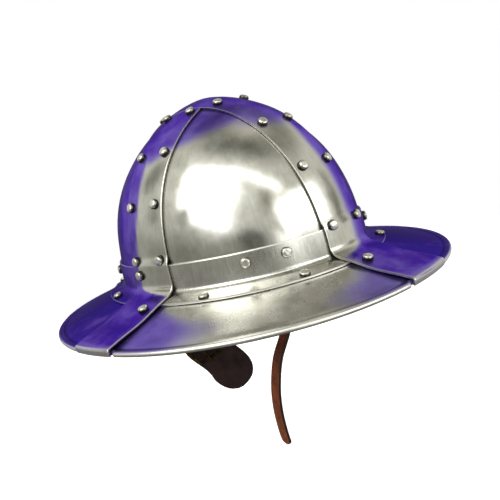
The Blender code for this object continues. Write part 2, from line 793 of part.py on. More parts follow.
def tab(place, under, bar_height):
    """A leather tab folded round the frame's nearer bar, its ends up the strap."""
    inner_radius = BUCKLE_WIRE_RADIUS + SEAT
    outer_radius = inner_radius + TAB_THICKNESS
    grids = []
    for radius in (outer_radius, inner_radius):
        section = [(-TAB_LENGTH, bar_height - radius)]
        for angle in (-90.0, -45.0, 0.0, 45.0, 90.0):
            turn = math.radians(angle)
            section.append((radius * math.cos(turn), bar_height + radius * math.sin(turn)))
        section.append((-TAB_LENGTH, bar_height + radius))
        grids.append([[place(a, d, h) for a in (-TAB_WIDTH / 2, TAB_WIDTH / 2)] for d, h in section])
    return sheet("buckle_tab", grids[0], grids[1], DARK_LEATHER)


def tongue(place, bar_height):
    """The tongue, from the tab across to the frame's far bar."""
    start = BUCKLE_WIRE_RADIUS + SEAT + TAB_THICKNESS + SEAT
    end = BUCKLE_FRAME_LENGTH - BUCKLE_WIRE_RADIUS
    over_bar = bar_height + BUCKLE_WIRE_RADIUS + SEAT
    rows = (
        (start, bar_height),
        ((start + end) / 2, (bar_height + over_bar) / 2),
        (end - TONGUE_REST, over_bar),
        (end + BUCKLE_WIRE_RADIUS, over_bar),
    )
    grids = []
    for face in (TONGUE_THICKNESS, 0.0):
        grid = []
        for (down, lift), share in zip(rows, TONGUE_TAPER):
            half = TONGUE_WIDTH / 2 * share
            grid.append([place(across, down, lift + face) for across in (-half, half)])
        grids.append(grid)
    return sheet("buckle_tongue", grids[0], grids[1], BRASS)


def main():
    clear_scene()
    for quarter in QUARTERS:
        skull_plate(quarter)
        brim_plate(quarter)
        brow_band(quarter)
    fore_aft_strip()
    for side in SIDES:
        if side not in LENGTHWISE:
            side_strip(side)
        strip_rivets(side)
    chin_strap()
    buckle_strap()


main()
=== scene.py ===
"""The looks of a steel kettle hat: polished plates under crossed strips, partly dyed violet, with two straps.

Metres, in the frame of the CAD: +Z up, front towards -Y, the wearer's left towards +X.
"""

import math

import bpy
from mathutils import Matrix, Vector, noise


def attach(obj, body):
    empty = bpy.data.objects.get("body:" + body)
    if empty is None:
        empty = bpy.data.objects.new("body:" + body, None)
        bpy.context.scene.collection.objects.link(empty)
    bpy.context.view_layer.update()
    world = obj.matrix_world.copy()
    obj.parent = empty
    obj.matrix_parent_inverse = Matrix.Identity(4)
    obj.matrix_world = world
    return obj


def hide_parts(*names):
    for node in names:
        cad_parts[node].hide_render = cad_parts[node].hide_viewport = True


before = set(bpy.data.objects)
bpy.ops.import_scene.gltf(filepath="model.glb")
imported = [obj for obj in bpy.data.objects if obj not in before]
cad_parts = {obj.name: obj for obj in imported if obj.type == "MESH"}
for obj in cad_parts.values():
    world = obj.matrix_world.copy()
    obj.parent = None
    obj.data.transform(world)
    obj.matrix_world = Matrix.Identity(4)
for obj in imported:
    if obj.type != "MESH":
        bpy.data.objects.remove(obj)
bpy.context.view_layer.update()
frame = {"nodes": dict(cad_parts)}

# Sheet steel and the gap between one sheet and the next, as in the CAD
SHEET = 0.0016
GAP = 0.0004
SEAT = 0.0003
EDGE_ROUND = 0.00035
EDGE_LINE = 0.0009
LEATHER_EDGE_LINE = 0.0008

# Skull
SKULL_HALF_LENGTH = 0.1162
SKULL_HALF_WIDTH = 0.0940
SKULL_HEIGHT = 0.1380
LENGTH_RISE_POWER = 2.30
LENGTH_OUT_POWER = 1.805
WIDTH_RISE_POWER = 2.93
WIDTH_OUT_POWER = 1.34
SKULL_PLATE_LAP = 0.0168
SKULL_PLATE_CORNER = 0.80
SKULL_PLATE_TALL = 0.16
SKULL_PLATE_WIDE = 0.12
SKULL_PLATE_LINES = 44

# Brim
BRIM_HALF_LENGTH = 0.1785
BRIM_HALF_WIDTH = 0.1624
BRIM_DROP = 0.0187
RIM_ROLL_RADIUS = 0.0019
BRIM_RUN_LONG = BRIM_HALF_LENGTH - RIM_ROLL_RADIUS - SKULL_HALF_LENGTH
BRIM_RUN_WIDE = BRIM_HALF_WIDTH - RIM_ROLL_RADIUS - SKULL_HALF_WIDTH
BRIM_BUTT_GAP = 0.0010
BRIM_FLAT_END = 0.86
BRIM_FLAT_LINES = 16
BRIM_WAVE_MARGIN = 0.002
BRIM_WAVE_END = 0.88
BRIM_WAVE_RUN = 0.06
# The groove inside the roll: shares of the run, each with a share of the depth
RIM_GROOVE_DEPTH = 0.00045
RIM_GROOVE = ((0.885, 0.1), (0.905, 0.55), (0.922, 1.0), (0.938, 0.8))
ROLL_ANGLES = range(148, -141, -16)

# Strips
STRIP_WIDTH = 0.0437
STRIP_BEND_RADIUS = 0.0050
STRIP_RISE = 0.2
STRIP_RISE_LINES = 56
STRIP_BRIM_END = 0.93
STRIP_BRIM_LINES = 20
STEP_DOWN_START = 0.0238
STEP_DOWN_END = 0.0285
BRIM_DIP_LAYER = 1.40
BRIM_DIP_START = 0.25
BRIM_DIP_BOTTOM = 0.55
BRIM_DIP_END = 0.92
FOLD_REACH = 0.0024
FOLD_RADIUS = 0.0026
FOLD_DEPTH = 0.0016
ROLL_SETBACK = 0.0018
ROLL_SETBACK_MARGIN = 0.0005
ROLL_SETBACK_LENGTH = 0.0030

# Brow bands
BROW_HEIGHT = 0.0225
BROW_FLANGE = 0.0150
BROW_BEND_RADIUS = 0.0025
BROW_LAP = 0.0090
BROW_WALL_RUN = 0.018
BROW_FLANGE_RUN = 0.011
BROW_LENGTH = 0.14
BROW_LINES = 60
BROW_BEND_STATIONS = (0.94, 1.0, 1.17, 1.34, 1.5, 1.66, 1.83, 2.0, 2.08)

# How far the hammered sheets wander from their true shape, over what length, and how far in from a free edge
PLATE_WANDER = 0.00065
PLATE_WANDER_LENGTH = 0.048
BROW_WANDER = 0.00025
BROW_WANDER_LENGTH = 0.030
FREE_EDGE_FADE = 0.012

# Rivets
RIVET_RADIUS = 0.0042
RIVET_HEIGHT = 0.0033
RIVET_TRIM = 0.95
RIVET_UPRIGHT_EDGE = 0.16
RIVET_ROUNDING = 0.9
RIVET_DENT = 0.00022
RIVET_FLATTENED = 0.00010
RIVET_DENTS_PER_METRE = 420.0
RIVET_OUT_OF_ROUND = 0.02
RIVET_SPIN = 1.7
RIVET_ROW_SPACING = 0.0291
LENGTHWISE_RIVET_SHARES = (0.169, 0.497, 0.761, 0.932)
SIDEWAYS_RIVET_SHARES = (0.194, 0.489, 0.739)
CROWN_RIVET_CLEARANCE = 0.0006
BRIM_RIVET_SHARE = 0.375
BRIM_RIVET_OFFSET = 0.0125
STRAP_HEAD_SHARE = 0.117
BROW_RIVET_HEIGHT = 0.0150
BROW_WALL_RIVET_AZIMUTHS = (31.7, 47.9)
BROW_FLANGE_RIVET_AZIMUTHS = (28.5, 64.5)
BROW_FLANGE_RIVET_SHARE = 0.178

# Straps: a route's points are inward from the wall, along the hat from its middle, and up
STRAP_THICKNESS = 0.0025
STRAP_GAP = 0.0007
STRAP_WIDTH = 0.0130
STRAP_EDGE_ROUND = 0.0006
BUCKLE_STRAP_WIDTH = 0.0200
STRAP_RIVET_RADIUS = 0.0040
STRAP_RIVET_RISE = 0.0040
STRAP_SEAT = 0.0120
CHIN_ROUTE = tuple(
    (inward, STRAP_SEAT, height)
    for inward, height in (
        (0.0000, 0.0100), (0.0000, -0.0030), (0.0050, -0.0180), (0.0140, -0.0380),
        (0.0270, -0.0620), (0.0440, -0.0890), (0.0640, -0.1100), (0.0755, -0.1330),
        (0.0803, -0.1540), (0.0810, -0.1750), (0.0795, -0.1925),
    )
)
BUCKLE_ROUTE = (
    (0.0000, STRAP_SEAT, 0.0100),
    (0.0000, STRAP_SEAT, -0.0030),
    (0.0050, 0.0105, -0.0180),
    (0.0140, 0.0060, -0.0380),
    (0.0250, 0.0000, -0.0580),
    (0.0370, -0.0080, -0.0790),
    (0.0392, -0.0140, -0.0990),
)
TURN_START = 0.15
TURN_LENGTH = 0.30
CHIN_TURN = 12.0
CHIN_STEPS = 130
HOLE_RADIUS = 0.0011
HOLE_SPACING = 0.0180
HOLE_COUNT = 5
FIRST_HOLE = 0.016
PUNCH_LENGTH = 0.012
FLAP_WIDTH = 0.0370
FLAP_START = 0.43
FLAP_SPREAD = 0.24
FLAP_TURN = 32.0
FLAP_STEPS = 80
BUCKLE_FRAME_WIDTH = 0.0290
BUCKLE_FRAME_LENGTH = 0.0200
BUCKLE_WIRE_RADIUS = 0.0015
BUCKLE_CORNER_RADIUS = 0.0040
BUCKLE_STATION = 0.60
TAB_WIDTH = 0.0180
TAB_THICKNESS = 0.0018
TAB_EDGE_ROUND = 0.0004
TAB_LENGTH = 0.0130
TAB_GAP = 0.0007
TONGUE_WIDTH = 0.0024
TONGUE_THICKNESS = 0.0018
TONGUE_EDGE_ROUND = 0.0005
TONGUE_TAPER = (1.0, 0.9, 0.8, 0.6)
TONGUE_REST = 0.0036

# Painted highlight on the roll's top, and painted shade in the groove, under the roll and round each rivet's
# foot.
# Each pair is where a change starts and over how much it is made: on the rim as shares of the run or in radii
# of the roll above the brim, and on a rivet's head as shares of its height
ROLL_BEGINS = (0.955, 0.015)
GROOVE_BEGINS = (0.918, 0.014)
ROLL_HIGHLIGHT_RISE = (-0.55, 0.5)
UNDER_ROLL_SHADE_FADE = (-1.15, 0.45)
DYED_ROLL_LESS_HIGHLIGHT = 0.75
GROOVE_SHADE_DEPTH = 0.60
UNDER_ROLL_SHADE_DEPTH = 0.90
RIVET_FOOT_SHADE_FADE = (0.24, 0.42)

# Where the violet dye lies: in the front-left and rear-right quarters, over the crown, and out on the brim.
# The first four pairs are shares of the skull's foot or of the rim: where a change starts and over how much
DYE_OVER_BEND = (1.04, 0.08)
DYE_SOFTER = (1.12, 0.30)
DYE_OUT = (1.15, 0.35)
RIM_RUB = (0.990, 0.009)
DYE_STRIP_EDGE = (STRIP_WIDTH / 2 - 0.002, 0.003)
DYE_LENGTHWISE = 0.03
DYE_WAVES_PER_METRE = 24.0
# How far inward the dye's line lies, by the strips on the skull, and further out
LINE_BESIDE = -0.003
LINE_BESIDE_LOW = -0.012
LINE_LOW_HEIGHT = 0.09
LINE_LENGTHWISE = -0.0060
LINE_OVER_BEND = 0.022
LINE_OUT = 0.058
LINE_OUT_LENGTHWISE = -0.014
# How soft the line is and how far it wavers, in metres
SOFT = 0.0022
SOFT_LENGTHWISE = 0.0045
SOFT_OVER_BEND = 0.004
SOFT_OUT = 0.015
WAVER = 0.002
WAVER_OUT = 0.010
# How much of the dye is missing past the strips' edges, on the skull, and on the rim's outer edge
PAST_STRIP_THINNER = 0.24
PAST_STRIP_THINNER_LENGTHWISE = 0.06
SKULL_DYE_THINNER = 0.14
RIM_RUBBED = 0.72
# The crown's line: a height and its slope along the hat, for the middle, the level part and the ends
CROWN_DYE = ((0.0985, 0.24), (0.1125, 0.0), (0.1365, -0.40))
CROWN_DYE_SOFTNESS = 0.0130
DYE_METALLIC = 0.90

SIDES = ("front", "left", "back", "right")
LENGTHWISE = ("front", "back")
QUARTERS = ("front_right", "front_left", "rear_left", "rear_right")
HALVINGS = 50
MOST_EDGE_SHARE = 0.7

# The camera of the photograph: where it stands, its axes, and its lens on a 36 mm sensor
CAMERA_PLACE = Vector((-0.34455504, -0.365976, 0.09235425))
CAMERA_RIGHT = Vector((0.66317, -0.70783, -0.24329))
CAMERA_UP = Vector((0.29356, -0.05303, 0.95447))
CAMERA_BACK = CAMERA_RIGHT.cross(CAMERA_UP)
CAMERA_LENS = 41.469

# Softboxes and dark cards, each as a direction from the hat in the camera's own axes: azimuth from the camera
# towards the right, elevation towards the top of the picture, its half sizes and a softbox's tilt, all in
# degrees, and its brightness or grey
LIGHT_DISTANCE = 4.0
CARD_DISTANCE = 3.0
HAT_MIDDLE = Vector((0.0, 0.0, 0.04))
SOFTBOXES = (
    ("softbox_left", -43.0, 18.5, 23.0, 21.0, -9.0, 3.2),
    ("softbox_right", 46.0, 18.3, 26.0, 10.2, 21.0, 3.2),
    ("softbox_top", -20.0, 42.0, 40.0, 4.0, 0.0, 2.4),
    ("softbox_low", 27.0, -5.0, 11.0, 4.0, 0.0, 1.7),
)
DARK_CARDS = (
    ("dark_card_front", -5.0, -11.0, 13.0, 9.0, "#2f2d27"),
    ("dark_card_between", 9.0, 21.0, 7.0, 11.0, "#85846f"),
    ("dark_card_left", -98.0, 26.0, 7.0, 11.0, "#6f6e64"),
    ("dark_card_corner", -61.0, 3.0, 8.0, 7.0, "#94968e"),
    ("dark_card_low_left", -87.0, 6.0, 6.0, 8.0, "#6c6d63"),
    ("dark_card_right", 93.0, 27.0, 7.0, 13.0, "#7a776a"),
    ("dark_card_above", -20.0, 65.0, 26.0, 5.0, "#4c4b42"),
)

# The room that the steel mirrors: its tone at each elevation in degrees, and how bright it is
ROOM_TONES = (
    (-60.0, "#6b6a64"), (-22.0, "#7b7a72"), (-12.0, "#8b8b84"), (0.0, "#b3b3ac"), (28.0, "#c4c4bb"),
    (50.0, "#b9b9b0"), (62.0, "#75746b"), (73.0, "#7b7a70"), (90.0, "#b4b1a8"),
)
ROOM_BRIGHTNESS = 1.5
FAR_WALL_SHARE = 0.16
FLOOR_HEIGHT = -0.32
WHITE = (1.0, 1.0, 1.0, 1.0)
BLACK = (0.0, 0.0, 0.0, 1.0)


def skull_halves(height):
    """Half the skull's length and width at a height."""
    share = min(max(height / SKULL_HEIGHT, 0.0), 1.0)
    long = SKULL_HALF_LENGTH * (1.0 - share**LENGTH_RISE_POWER) ** (1.0 / LENGTH_OUT_POWER)
    wide = SKULL_HALF_WIDTH * (1.0 - share**WIDTH_RISE_POWER) ** (1.0 / WIDTH_OUT_POWER)
    return long, wide


def skull_normal(point):
    """The outward direction of the skull at a point on it."""
    step = SKULL_HEIGHT * 1e-4
    height = min(point.z, SKULL_HEIGHT - step - step)
    long, wide = skull_halves(height)
    next_long, next_wide = skull_halves(height + step)
    long_slope = (next_long - long) / step
    wide_slope = (next_wide - wide) / step
    rise = -(point.x**2) * wide_slope / wide**3 - point.y**2 * long_slope / long**3
    return Vector((point.x / wide**2, point.y / long**2, rise)).normalized()


def turned(point, side):
    """A point given as across, outward and up on one side of the hat, put in the hat's own frame."""
    across, outward, up = point
    x, y = across, -outward
    for _ in range(SIDES.index(side)):
        x, y = -y, x
    return Vector((x, y, up))


def seen_from(side, halves):
    """Half an oval's reach towards one side of the hat, and across it."""
    return halves if side in LENGTHWISE else halves[::-1]


def oval_at(side, across, halves, height):
    """A level oval's point at a distance across from the middle of one side."""
    outward, sideways = seen_from(side, halves)
    return turned((across, outward * math.sqrt(1.0 - (across / sideways) ** 2), height), side)


def skull_at_height(side, across, height):
    """The skull's point at a height, at a distance across from the middle of one side."""
    return oval_at(side, across, skull_halves(height), height)


def last_holding(test, high):
    """The number, from 0 towards high, up to which a test holds."""
    low = 0.0
    for _ in range(HALVINGS):
        middle = (low + high) / 2
        if test(middle):
            low = middle
        else:
            high = middle
    return low


def skull_at_angle(side, across, angle):
    """The skull's point where a ray rises at an angle from the foot's level, at a distance across."""

    def inside(reach):
        height = reach * math.sin(angle)
        outward, sideways = seen_from(side, skull_halves(height))
        if height >= SKULL_HEIGHT or sideways <= abs(across) or outward <= 0.0:
            return False
        return (across / sideways) ** 2 + (reach * math.cos(angle) / outward) ** 2 < 1.0

    reach = last_holding(inside, 2.0 * max(SKULL_HEIGHT, SKULL_HALF_LENGTH))
    return turned((across, reach * math.cos(angle), reach * math.sin(angle)), side)


def on_skull(point, lift):
    """A point of the skull, lifted off it."""
    return point + skull_normal(point) * lift


def brim_halves(share):
    """Half the length and width of the brim's ring at a share of the way from the foot to the roll."""
    return SKULL_HALF_LENGTH + BRIM_RUN_LONG * share, SKULL_HALF_WIDTH + BRIM_RUN_WIDE * share


def brim_normal(point, share):
    """The upward direction of the brim's top face at a point on it."""
    long, wide = brim_halves(share)
    spread = point.x**2 * BRIM_RUN_WIDE / wide**3 + point.y**2 * BRIM_RUN_LONG / long**3
    slope_x = BRIM_DROP * point.x / wide**2 / spread
    slope_y = BRIM_DROP * point.y / long**2 / spread
    return Vector((slope_x, slope_y, 1.0)).normalized()


def brim_at_share(side, across, share, lift=0.0):
    """A point lifted off the brim, a share of the way out, at a distance across from one side's middle."""
    point = oval_at(side, across, brim_halves(share), -BRIM_DROP * share)
    return point + brim_normal(point, share) * lift


def share_of(distance):
    """The share of the brim's lengthwise run that a distance is."""
    return distance / BRIM_RUN_LONG


def inner_edge_share():
    """How far inside the foot the brim's inner edge meets the plates' inner face, as a share of the run."""
    return SHEET / BRIM_RUN_WIDE


def layer_lift(layer):
    """How far the top of a layer of sheet lies above the plates' outer face."""
    return layer * (SHEET + GAP)


def curve_point(start, corner, end, t):
    """A point on the round turn between two straight runs that would meet at the corner."""
    return start * (1 - t) ** 2 + corner * 2 * t * (1 - t) + end * t**2


def smooth_step(value):
    """0 and 1 joined by a smooth rise."""
    value = min(max(value, 0.0), 1.0)
    return value * value * (3.0 - 2.0 * value)


def eased(value, start, length):
    """0 before a start, 1 from a length beyond it, and a smooth rise between."""
    return smooth_step((value - start) / length)


def quarter_point(quarter, halves, azimuth, height):
    """A level oval's point at an azimuth from the front or back in one quarter."""
    long, wide = halves
    sign_x = -1.0 if quarter.endswith("right") else 1.0
    sign_y = -1.0 if quarter.startswith("front") else 1.0
    return Vector((sign_x * wide * math.sin(azimuth), sign_y * long * math.cos(azimuth), height))


def oval_in_quarter(quarter, halves, margin, t, height):
    """A level oval's point, a share t of the way between two edges that keep a margin to the middles."""
    long, wide = halves
    start = math.asin(min(margin / wide, MOST_EDGE_SHARE))
    end = math.acos(min(margin / long, MOST_EDGE_SHARE))
    return quarter_point(quarter, halves, start + (end - start) * t, height)


def skull_in_quarter(quarter, margin, t, height):
    """The skull's point at a height, a share t of the way round a quarter."""
    return oval_in_quarter(quarter, skull_halves(height), margin, t, height)


def brim_in_quarter(quarter, share, t, margin, lift):
    """A point lifted off the brim, a share t of the way round a quarter."""
    point = oval_in_quarter(quarter, brim_halves(share), margin, t, -BRIM_DROP * share)
    return point + brim_normal(point, share) * lift


def past_strips(point):
    """How far a point lies from the nearer strip's edge."""
    return min(abs(point.x), abs(point.y)) - STRIP_WIDTH / 2


def even_stations(count, length, line):
    """Shares from 0 to 1 in even steps, with one more just inside each end for a narrow edge line."""
    near = min(line / length, 0.4 / count)
    return [0.0, near, *[k / count for k in range(1, count)], 1.0 - near, 1.0]


def deselect():
    bpy.ops.object.select_all(action="DESELECT")


def select(piece):
    deselect()
    piece.select_set(True)
    bpy.context.view_layer.objects.active = piece


def running_lengths(points):
    """How far along a line each of its points is."""
    lengths = [0.0]
    for before, point in zip(points, points[1:]):
        lengths.append(lengths[-1] + (point - before).length)
    return lengths


def laid_grid(name, points):
    """A grid whose points are laid on the hat, its UV map in decimetres along and across, facing outward."""
    rows = len(points)
    columns = len(points[0])
    deselect()
    bpy.ops.mesh.primitive_grid_add(x_subdivisions=columns - 1, y_subdivisions=rows - 1, size=1.0)
    piece = bpy.context.object
    piece.name = name
    mesh = piece.data
    mesh.name = name
    # The edge mark: on steel it lightens the sheet's border, partly real wear and partly painted highlight;
    # on leather it darkens the burnished edge
    edge = mesh.attributes.new("edge", "FLOAT", "POINT")
    for index, vertex in enumerate(mesh.vertices):
        row, column = divmod(index, columns)
        vertex.co = points[row][column]
        at_end = row in (0, rows - 1) or column in (0, columns - 1)
        edge.data[index].value = 1.0 if at_end else 0.0
    across = running_lengths(points[rows // 2])
    along = running_lengths([row[columns // 2] for row in points])
    uv = mesh.uv_layers.active.data
    for loop in mesh.loops:
        row, column = divmod(loop.vertex_index, columns)
        uv[loop.index].uv = (across[column] * 10.0, along[row] * 10.0)
    mesh.update()
    below = Vector((0.0, 0.0, -1.0))
    facing = sum(face.normal.dot(face.center - below) * face.area for face in mesh.polygons)
    if facing < 0.0:
        mesh.flip_normals()
    return piece


def face_toward(piece, wanted):
    """Turns a laid sheet over where its faces look against a direction."""
    if sum(face.normal.dot(wanted) for face in piece.data.polygons) < 0.0:
        piece.data.flip_normals()


def outside(piece):
    """Turns every face of a closed piece outward."""
    select(piece)
    bpy.ops.object.mode_set(mode="EDIT")
    bpy.ops.mesh.select_all(action="SELECT")
    bpy.ops.mesh.normals_make_consistent(inside=False)
    bpy.ops.object.mode_set(mode="OBJECT")


def apply_all(piece):
    select(piece)
    for modifier in list(piece.modifiers):
        bpy.ops.object.modifier_apply(modifier=modifier.name)


def smooth_faces(piece, angle=35.0):
    select(piece)
    bpy.ops.object.shade_smooth_by_angle(angle=math.radians(angle))


def finish_edges(piece, width, corner=50.0, smooth=35.0):
    """Rounds the edges of a piece that are sharper than a corner, and smooths its faces."""
    bevel = piece.modifiers.new("rounded edges", "BEVEL")
    bevel.width = width
    bevel.segments = 2
    bevel.limit_method = "ANGLE"
    bevel.angle_limit = math.radians(corner)
    apply_all(piece)
    smooth_faces(piece, smooth)


def thicken(piece, thickness, edge, smooth, **settings):
    """Gives a laid sheet its thickness behind its face, and finishes its edges."""
    wall = piece.modifiers.new("thickness", "SOLIDIFY")
    wall.thickness = thickness
    wall.offset = -1.0
    for key, value in settings.items():
        setattr(wall, key, value)
    finish_edges(piece, edge, smooth=smooth)


def sheet_piece(name, node, points):
    """A steel sheet below the laid points, with two material slots, the second for its cut edge."""
    piece = laid_grid(name, points)
    for _ in range(2):
        piece.data.materials.append(None)
    thicken(piece, SHEET, EDGE_ROUND, 35.0, use_even_offset=True, material_offset_rim=1)
    seat(piece, "polished_steel", node)
    return piece


def seat(piece, slot, *nodes):
    """The piece rides on the hat and stands for nodes of the CAD; its slot is not used."""
    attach(piece, "root")
    if nodes:
        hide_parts(*nodes)


def wander(point, normal, amount, length, seed):
    """The point moved along its normal by a slow, even wander."""
    place = point / length + Vector((seed, 2.0 * seed, 0.5))
    return point + normal * amount * noise.noise(place)


def plate_corner_height(margin):
    """How high a skull plate reaches under the crossing."""

    def below(height):
        long, wide = (max(half, 1e-6) for half in skull_halves(height))
        return math.hypot(margin / long, margin / wide) < SKULL_PLATE_CORNER

    return last_holding(below, SKULL_HEIGHT)


def skull_plate(quarter, seed):
    """A domed quarter of the skull."""
    margin = STRIP_WIDTH / 2 - SKULL_PLATE_LAP
    foot = BRIM_DROP * inner_edge_share() + SEAT
    top = plate_corner_height(margin)
    points = []
    for turn in even_stations(SKULL_PLATE_LINES, SKULL_PLATE_TALL, EDGE_LINE):
        height = foot + (top - foot) * math.sin(turn * math.pi / 2)
        row = []
        for t in even_stations(SKULL_PLATE_LINES, SKULL_PLATE_WIDE, EDGE_LINE):
            point = skull_in_quarter(quarter, margin, t, height)
            free = eased(min(past_strips(point), point.z - BROW_HEIGHT), 0.0, FREE_EDGE_FADE)
            row.append(wander(point, skull_normal(point), PLATE_WANDER * free, PLATE_WANDER_LENGTH, seed))
        points.append(row)
    return sheet_piece("skull_" + quarter, "skull_plate_" + quarter, points)


def outward_along(up):
    """The level-most outward direction at right angles to the brim's upward one."""
    outward = Vector((up.x, up.y, 0.0)).normalized()
    return (outward - up * outward.dot(up)).normalized()


def roll_setback(point):
    """How far the roll is set back under the strips' folded ends."""
    return ROLL_SETBACK * (1.0 - eased(past_strips(point), ROLL_SETBACK_MARGIN, ROLL_SETBACK_LENGTH))


def roll_point(quarter, t, margin, angle):
    """A point round the rolled rim, at an angle that is 0 outward and 90 up."""
    centre = brim_in_quarter(quarter, 1.0, t, margin, -SHEET / 2)
    up = brim_normal(centre, 1.0)
    turn = math.radians(angle)
    out = RIM_ROLL_RADIUS * math.cos(turn) - roll_setback(centre)
    return centre + outward_along(up) * out + up * RIM_ROLL_RADIUS * math.sin(turn)


def wavy_brim_point(quarter, share, t, margin, lift, seed):
    """A point on a brim quarter, with the slow waves of planishing between the strips and the roll."""
    point = brim_in_quarter(quarter, share, t, margin, lift)
    past_flange = (share - share_of(BROW_FLANGE)) * BRIM_WAVE_RUN
    before_roll = (BRIM_WAVE_END - share) * BRIM_WAVE_RUN
    clear = min(past_strips(point) - BRIM_WAVE_MARGIN, past_flange, before_roll)
    flat_place = Vector((point.x, point.y, 0.0))
    up = Vector((0.0, 0.0, 1.0))
    amount = PLATE_WANDER * eased(clear, 0.0, FREE_EDGE_FADE)
    return point + (wander(flat_place, up, amount, PLATE_WANDER_LENGTH, seed) - flat_place)


def brim_columns(margin):
    """The shares round a quarter at which the brim's lines run, closer together by the strips' edges."""
    long, wide = brim_halves(1.0)
    first = math.asin(margin / wide)
    last = math.acos(margin / long)
    near = []
    far = []
    for k in range(7):
        edge = STRIP_WIDTH / 2 + ROLL_SETBACK_MARGIN + ROLL_SETBACK_LENGTH * k / 6
        near.append((math.asin(edge / wide) - first) / (last - first))
        far.append((math.acos(edge / long) - first) / (last - first))
    under = [near[0] * k / 5 for k in range(1, 5)]
    beyond = [far[0] + (1.0 - far[0]) * k / 5 for k in range(1, 5)]
    between = [near[-1] + (far[-1] - near[-1]) * k / 56 for k in range(1, 56)]
    return [0.0, *under, *near, *between, *far[::-1], *beyond, 1.0]


def brim_plate(quarter, seed):
    """A quarter of the brim, with a groove inside its rolled rim."""
    margin = BRIM_BUTT_GAP / 2
    columns = brim_columns(margin)
    inner = -inner_edge_share()
    flat = [inner + (BRIM_FLAT_END - inner) * k / BRIM_FLAT_LINES for k in range(BRIM_FLAT_LINES + 1)]
    points = [[wavy_brim_point(quarter, share, t, margin, 0.0, seed) for t in columns] for share in flat]
    for share, depth in RIM_GROOVE:
        lift = -RIM_GROOVE_DEPTH * depth
        points.append([brim_in_quarter(quarter, share, t, margin, lift) for t in columns])
    for angle in ROLL_ANGLES:
        points.append([roll_point(quarter, t, margin, angle) for t in columns])
    for share in reversed(flat):
        points.append([wavy_brim_point(quarter, share, t, margin, -SHEET, seed) for t in columns])
    for top, under in zip(points[0], points[-1]):
        under.x, under.y = top.x, top.y
    points.append([point.copy() for point in points[0]])
    piece = laid_grid("brim_" + quarter, points)
    bpy.ops.object.mode_set(mode="EDIT")
    bpy.ops.mesh.select_all(action="SELECT")
    bpy.ops.mesh.remove_doubles(threshold=1e-6)
    bpy.ops.mesh.fill_holes(sides=0)
    bpy.ops.object.mode_set(mode="OBJECT")
    outside(piece)
    finish_edges(piece, EDGE_ROUND, corner=60.0)
    mark_rim(piece)
    seat(piece, "polished_steel", "brim_plate_" + quarter)
    return piece


def mark_rim(piece):
    """Marks painted highlight on the top of the rolled rim, and painted shade in the groove and under the
    roll.
    """
    edge = piece.data.attributes["edge"].data
    painted_shade = piece.data.attributes.new("painted_shade", "FLOAT", "POINT")
    long, wide = brim_halves(1.0)
    for index, vertex in enumerate(piece.data.vertices):
        x, y, z = vertex.co
        turn = math.atan2(x / wide, y / long)
        foot = math.hypot(SKULL_HALF_WIDTH * math.sin(turn), SKULL_HALF_LENGTH * math.cos(turn))
        rim = math.hypot(wide * math.sin(turn), long * math.cos(turn))
        share = (math.hypot(x, y) - foot) / (rim - foot)
        up = (z + BRIM_DROP * share) / RIM_ROLL_RADIUS
        on_roll = eased(share, *ROLL_BEGINS)
        # Painted highlight on the roll's top, kept in the edge mark and weaker where dyed
        roll_highlight = on_roll * eased(up, *ROLL_HIGHLIGHT_RISE) * (1.0 - DYED_ROLL_LESS_HIGHLIGHT * dye_at(vertex.co))
        edge[index].value = max(edge[index].value * (1.0 - on_roll), roll_highlight)
        # Painted shade, darkest in the groove and under the roll
        groove = eased(share, *GROOVE_BEGINS) * (1.0 - on_roll)
        under = on_roll * (1.0 - eased(up, *UNDER_ROLL_SHADE_FADE))
        painted_shade.data[index].value = max(GROOVE_SHADE_DEPTH * groove, UNDER_ROLL_SHADE_DEPTH * under)


def brow_point(quarter, station, t):
    """A point on a brow band's outer face: stations run from the top of the wall to the flange's edge."""
    margin = STRIP_WIDTH / 2 - BROW_LAP
    lift = layer_lift(1)
    turn_reach = lift + BROW_BEND_RADIUS

    def wall(height):
        return on_skull(skull_in_quarter(quarter, margin, t, height), lift)

    if station <= 1.0:
        return wall(BROW_HEIGHT + (turn_reach - BROW_HEIGHT) * station)
    turn_share = share_of(turn_reach)
    if station >= 2.0:
        share = turn_share + (share_of(BROW_FLANGE) - turn_share) * (station - 2.0)
        return brim_in_quarter(quarter, share, t, margin, lift)
    foot = wall(0.0)
    corner = Vector((foot.x, foot.y, lift))
    end = brim_in_quarter(quarter, turn_share, t, margin, lift)
    return curve_point(wall(turn_reach), corner, end, station - 1.0)


def brow_band(quarter, seed):
    """An L-shaped band round the foot of one quarter, a little uneven from the hammer."""
    stations = even_stations(8, BROW_WALL_RUN, EDGE_LINE)[:-2]
    stations += BROW_BEND_STATIONS
    stations += [2.0 + share for share in even_stations(5, BROW_FLANGE_RUN, EDGE_LINE)[2:]]
    points = []
    for station in stations:
        row = []
        for t in even_stations(BROW_LINES, BROW_LENGTH, EDGE_LINE):
            point = brow_point(quarter, station, t)
            free = eased(past_strips(point), 0.0, FREE_EDGE_FADE) * smooth_step(abs(station - 1.5) / 0.5)
            up = Vector((0.0, 0.0, 1.0))
            normal = Vector((point.x, point.y, 0.0)).normalized() if station < 1.5 else up
            row.append(wander(point, normal, BROW_WANDER * free, BROW_WANDER_LENGTH, seed))
        points.append(row)
    return sheet_piece("brow_" + quarter, "brow_band_" + quarter, points)


def strip_lift(point):
    """A strip's lift at a point of the skull: over the brow bands, and down on the plates above them."""
    return layer_lift(2.0 - eased(point.z, STEP_DOWN_START, STEP_DOWN_END - STEP_DOWN_START))


